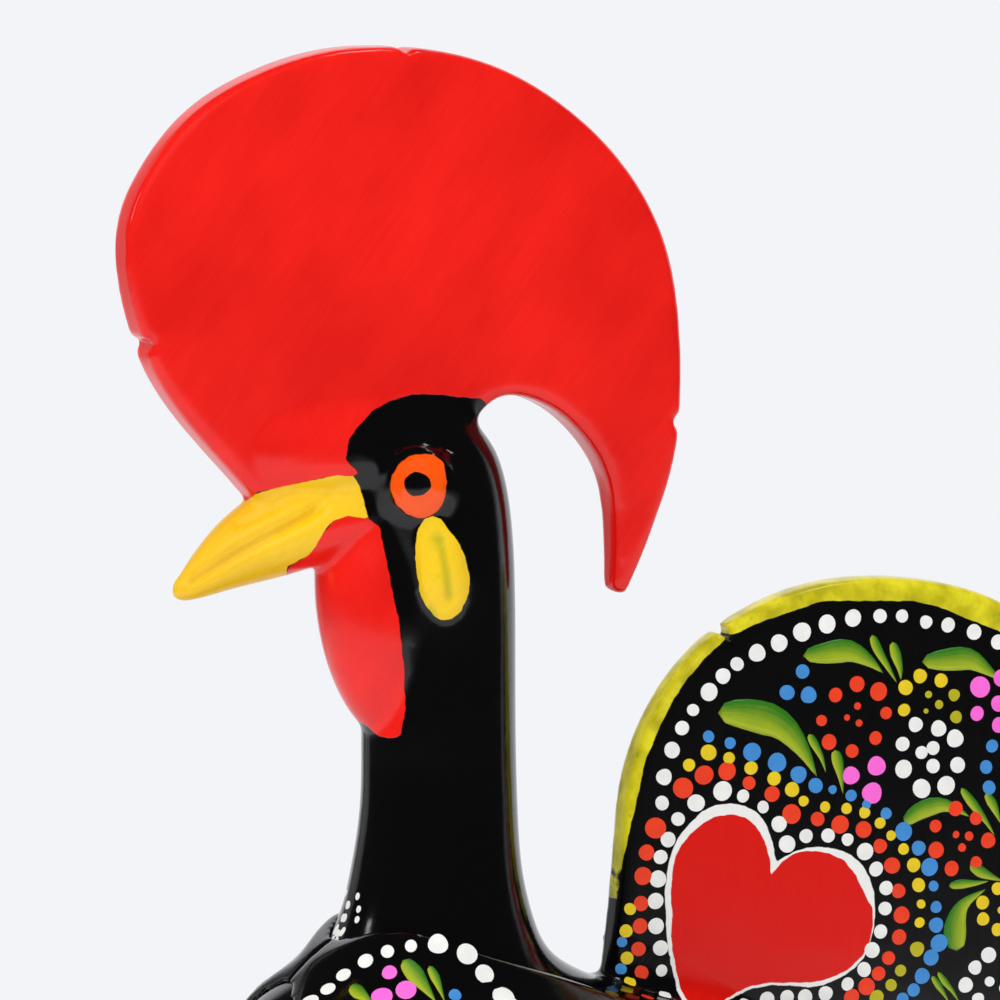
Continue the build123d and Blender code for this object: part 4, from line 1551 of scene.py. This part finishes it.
# How far the tail's dots keep from its rim, and how far inside its edge the white ones run
rim_margin = 1.4 * mm
ring_inset = 8.2


def decorate_tail(paints):
    """Dots, flowers and leaves on the tail, and white dots round the rest of its edge."""
    skins = ["painted_tail_fan", "painted_left_body_half", "painted_right_body_half"]
    chart = picture_chart(skin_tree(skins))
    flat = side_chart(skin_tree(["painted_tail_fan"]))
    field = tail_field()

    def on_field(spot):
        hit, normal = chart(spot)
        if hit is not None and hit.x > tail_centre[0]:
            if inside_distance(np.array([[hit.x, hit.z]]), field)[0] < rim_margin:
                return None, None
        return hit, normal

    brush = Brush("tail_decoration", paints, 3)
    for spine, width, belly in tail_leaves:
        brush.stroke(chart, "leaf", spine, width, belly=belly)
    for paint, spots in tail_dots.items():
        brush.dots(on_field, paint, spots, pixel)
    centre = [part / mm for part in tail_centre]
    reach = tail_reach / mm - ring_inset
    rest = []
    for angle in range(48, -62, -6):
        rest.append((*on_circle(centre, reach, math.radians(angle)), 1.4))
    brush.dots(flat, "white", rest, mm)
    brush.finish()


def decorate_wings(paints):
    """The wings' shoulders as in the picture, and a border, flowers and feathers below."""
    skin = skin_tree(["painted_left_wing"])
    shoulder, side = picture_chart(skin), side_chart(skin)
    brush = Brush("wing_decoration", paints, 5)
    for spine, width, belly in wing_leaves:
        brush.stroke(shoulder, "leaf", spine, width, belly=belly)
    for paint, spots in wing_dots.items():
        brush.dots(shoulder, paint, spots, pixel)
    low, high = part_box("left_wing")
    long, tall = (high.x - low.x) / mm, (high.z - low.z) / mm

    def spot(share):
        return low.x / mm + share[0] * long, low.z / mm + share[1] * tall

    brush.dots(side, "white", [(*spot(share), 1.5) for share in wing_border], mm)
    for paint, middle, size, turn in wing_flowers:
        brush.dots(side, paint, flower(spot(middle), flower_reach, size, turn=turn), mm)
    for spine, width in wing_sprigs:
        brush.stroke(side, "leaf", [spot(share) for share in spine], width, up=-1)
    for paint, spine in wing_feathers:
        brush.stroke(side, paint, [spot(share) for share in spine], 1.6, up=-1, belly=0.3)
    brush.finish()


def decorate_breast(paints):
    """A row of white dots down the breast."""
    skins = ["painted_left_body_half", "painted_right_body_half"]
    brush = Brush("breast_decoration", paints, 7)
    brush.dots(picture_chart(skin_tree(skins)), "white", breast_dots, pixel)
    brush.finish()


def decorate_base(paints):
    """Two rings of white dots round the base, and flowers with leaves between them."""
    around = round_chart(skin_tree(["painted_base_bell"]))
    brush = Brush("base_decoration", paints, 9, mirrored=False)
    for turn, height, size in ((6, 13.5, 1.35), (9, 50.5, 1.1)):
        brush.dots(around, "white", [(t, height, size) for t in range(0, 360, turn)], mm)
    for step in range(8):
        turn = step * 45 + 22.5
        paint = ("red", "yellow", "blue", "pink")[step % 4]
        spots = [
            (turn + math.degrees(dx / base_flower_radius), base_flower_height + dz, size)
            for dx, dz, size in flower((0, 0), flower_reach, 1.35, turn=0.2 * step)
        ]
        brush.dots(around, paint, spots, mm)
        for way in (-1, 1):
            spine = [(turn + way * across, height) for across, height in base_leaf]
            brush.stroke(around, "leaf", spine, 1.9, up=way)
    brush.finish()


class ROOSTER_OT_decoration(bpy.types.Operator):
    """Dots, flowers and leaves painted on tail, wings, breast and base"""

    bl_idname = "rooster.decoration"
    bl_label = "Painted decoration"

    def execute(self, context):
        paints = decorating_paints()
        for decorate in (decorate_tail, decorate_wings, decorate_breast, decorate_base):
            decorate(paints)
        return {"FINISHED"}


# Studio


# Soft boxes as (name, place from the aim, width, height, watts, shown in gloss), in metres
soft_boxes = (
    ("Key box", (-0.95, -1.15, 1.25), 1.6, 1.6, 17, False),
    ("Edge box", (-0.65, 1.35, 0.1), 0.45, 1.5, 0.6, True),
    ("Top box", (0.3, -0.2, 1.3), 0.35, 0.2, 1.5, True),
    ("Lamp", (-1.3, 0.3, 0.55), 0.12, 0.3, 0.8, True),
)
surroundings = "#F3F4F8"
# Which way the pale backdrop lies that gloss shows
backdrop_way = (0.63, 0.78, 0)


def set_camera(scene):
    """Stands the camera where the settings say."""
    camera = bpy.data.cameras.new("Camera")
    camera.lens = scene.rooster_studio.lens
    camera.sensor_width = sensor
    camera.clip_end = 100
    eye = bpy.data.objects.new("Camera", camera)
    place_of_camera, back, right, up = camera_axes()
    turned = Matrix((right, up, back)).transposed().to_4x4()
    eye.matrix_world = Matrix.Translation(place_of_camera) @ turned
    scene.collection.objects.link(eye)
    scene.camera = eye


def light_room(scene):
    """Soft boxes that face the aim, in pale surroundings."""
    aim = Vector(scene.rooster_studio.aim)
    for name, offset, width, height, power, in_gloss in soft_boxes:
        lamp = bpy.data.lights.new(name, "AREA")
        lamp.shape = "RECTANGLE"
        lamp.size = width
        lamp.size_y = height
        lamp.energy = power
        box = bpy.data.objects.new(name, lamp)
        box.location = aim + Vector(offset)
        toward = aim - box.location
        box.rotation_euler = toward.to_track_quat("-Z", "Y").to_euler()
        box.visible_glossy = in_gloss
        scene.collection.objects.link(box)

    world = bpy.data.worlds.new("Studio")
    world.use_nodes = True
    scene.world = world
    tree = world.node_tree
    tree.nodes.clear()
    camera_ray, glossy_ray, transmission_ray = (
        add_node(tree, "LightPath", output=f"Is {kind} Ray")
        for kind in ("Camera", "Glossy", "Transmission")
    )
    way = add_node(tree, "TexCoord", output="Generated")
    # The pale backdrop stands behind the object, so gloss shows it on that side.
    behind = add_node(
        tree, "VectorMath", (way, backdrop_way), "Value", operation="DOT_PRODUCT"
    )
    past = add_node(tree, "Math", (behind, 0.65), operation="SUBTRACT")
    backdrop = add_node(tree, "Math", (past, 8.0, 0.5), **held)
    # The table's pale paper lies below, so gloss that is turned down shows that too.
    height = add_node(tree, "SeparateXYZ", (way,), "Z")
    span = {"From Min": -0.45, "From Max": -0.1, "To Min": 1.0, "To Max": 0.0}
    table = add_node(
        tree, "MapRange", {"Value": height, **span}, interpolation_type="SMOOTHSTEP"
    )
    seen = add_node(tree, "Math", (backdrop, table), operation="MAXIMUM")
    shown = add_node(tree, "Math", (glossy_ray, seen), operation="MULTIPLY")
    for ray in (camera_ray, transmission_ray):
        shown = add_node(tree, "Math", (ray, shown), operation="MAXIMUM")
    # Gloss shows the rest of the room almost black.
    dim = add_node(tree, "Math", (glossy_ray, -0.79, 0.82), **scaled)
    pale = from_hex(surroundings)
    room = add_node(tree, "Background", {"Color": pale, "Strength": dim})
    screen = add_node(tree, "Background", {"Color": pale, "Strength": 1.0})
    mixed = add_node(tree, "MixShader", (shown, room, screen))
    add_node(tree, "OutputWorld", {"Surface": mixed})


def lay_floor(scene):
    """Matt white paper that fades into the surroundings."""
    form = bmesh.new()
    bmesh.ops.create_circle(form, cap_ends=True, segments=96, radius=1.1)
    floor = bpy.data.objects.new("Floor", into_mesh(form, "Floor"))
    floor.location.z = -0.05 * mm
    scene.collection.objects.link(floor)
    material, tree = new_material("matt paper floor")
    spot = add_node(tree, "TexCoord", output="Object")
    away = add_node(tree, "VectorMath", (spot,), "Value", operation="LENGTH")
    edge = {"Value": away, "From Min": 0.3, "From Max": 0.95}
    fade = add_node(tree, "MapRange", edge, interpolation_type="SMOOTHSTEP")
    fibre = pattern(tree, 0.8 * mm, 3.0)
    sheet = coats(tree, from_hex("#EDEEF2"), (fibre, from_hex("#F5F6F9")))
    paper = add_node(tree, "BsdfPrincipled", {"Base Color": sheet, "Roughness": 0.85})
    glow = add_node(tree, "Emission", {"Color": from_hex(surroundings), "Strength": 1.0})
    surface = add_node(tree, "MixShader", (fade, paper, glow))
    add_node(tree, "OutputMaterial", {"Surface": surface})
    floor.data.materials.append(material)


class ROOSTER_OT_studio(bpy.types.Operator):
    """Camera, soft boxes, pale surroundings and floor"""

    bl_idname = "rooster.studio"
    bl_label = "Studio"

    def execute(self, context):
        scene = context.scene
        scene.view_settings.view_transform = "Standard"
        set_camera(scene)
        light_room(scene)
        lay_floor(scene)
        return {"FINISHED"}


class ROOSTER_PT_panel(bpy.types.Panel):
    """Lists the rooster's operators"""

    bl_label = "Rooster"
    bl_idname = "ROOSTER_PT_panel"
    bl_space_type = "VIEW_3D"
    bl_region_type = "UI"
    bl_category = "Rooster"

    def draw(self, context):
        for step in steps:
            self.layout.operator(step.bl_idname)


settings = (CastingSizes, EnamelColours, StudioSettings)
steps = (
    ROOSTER_OT_studio,
    ROOSTER_OT_castings,
    ROOSTER_OT_wings,
    ROOSTER_OT_legs,
    ROOSTER_OT_base,
    ROOSTER_OT_fasteners,
    ROOSTER_OT_decoration,
)


def register():
    """Registers the settings, operators and panel."""
    for kind in (*settings, *steps, ROOSTER_PT_panel):
        bpy.utils.register_class(kind)
    scene_type = bpy.types.Scene
    scene_type.rooster_castings = bpy.props.PointerProperty(type=CastingSizes)
    scene_type.rooster_enamels = bpy.props.PointerProperty(type=EnamelColours)
    scene_type.rooster_studio = bpy.props.PointerProperty(type=StudioSettings)


def unregister():
    """Removes what register added."""
    for name in ("rooster_castings", "rooster_enamels", "rooster_studio"):
        delattr(bpy.types.Scene, name)
    for kind in reversed((*settings, *steps, ROOSTER_PT_panel)):
        bpy.utils.unregister_class(kind)


def main():
    """Makes the rooster and its studio."""
    register()
    bpy.ops.rooster.studio()
    bpy.ops.rooster.castings()
    bpy.ops.rooster.wings()
    bpy.ops.rooster.legs()
    bpy.ops.rooster.base()
    bpy.ops.rooster.fasteners()
    bpy.ops.rooster.decoration()


if __name__ == "__main__":
    main()
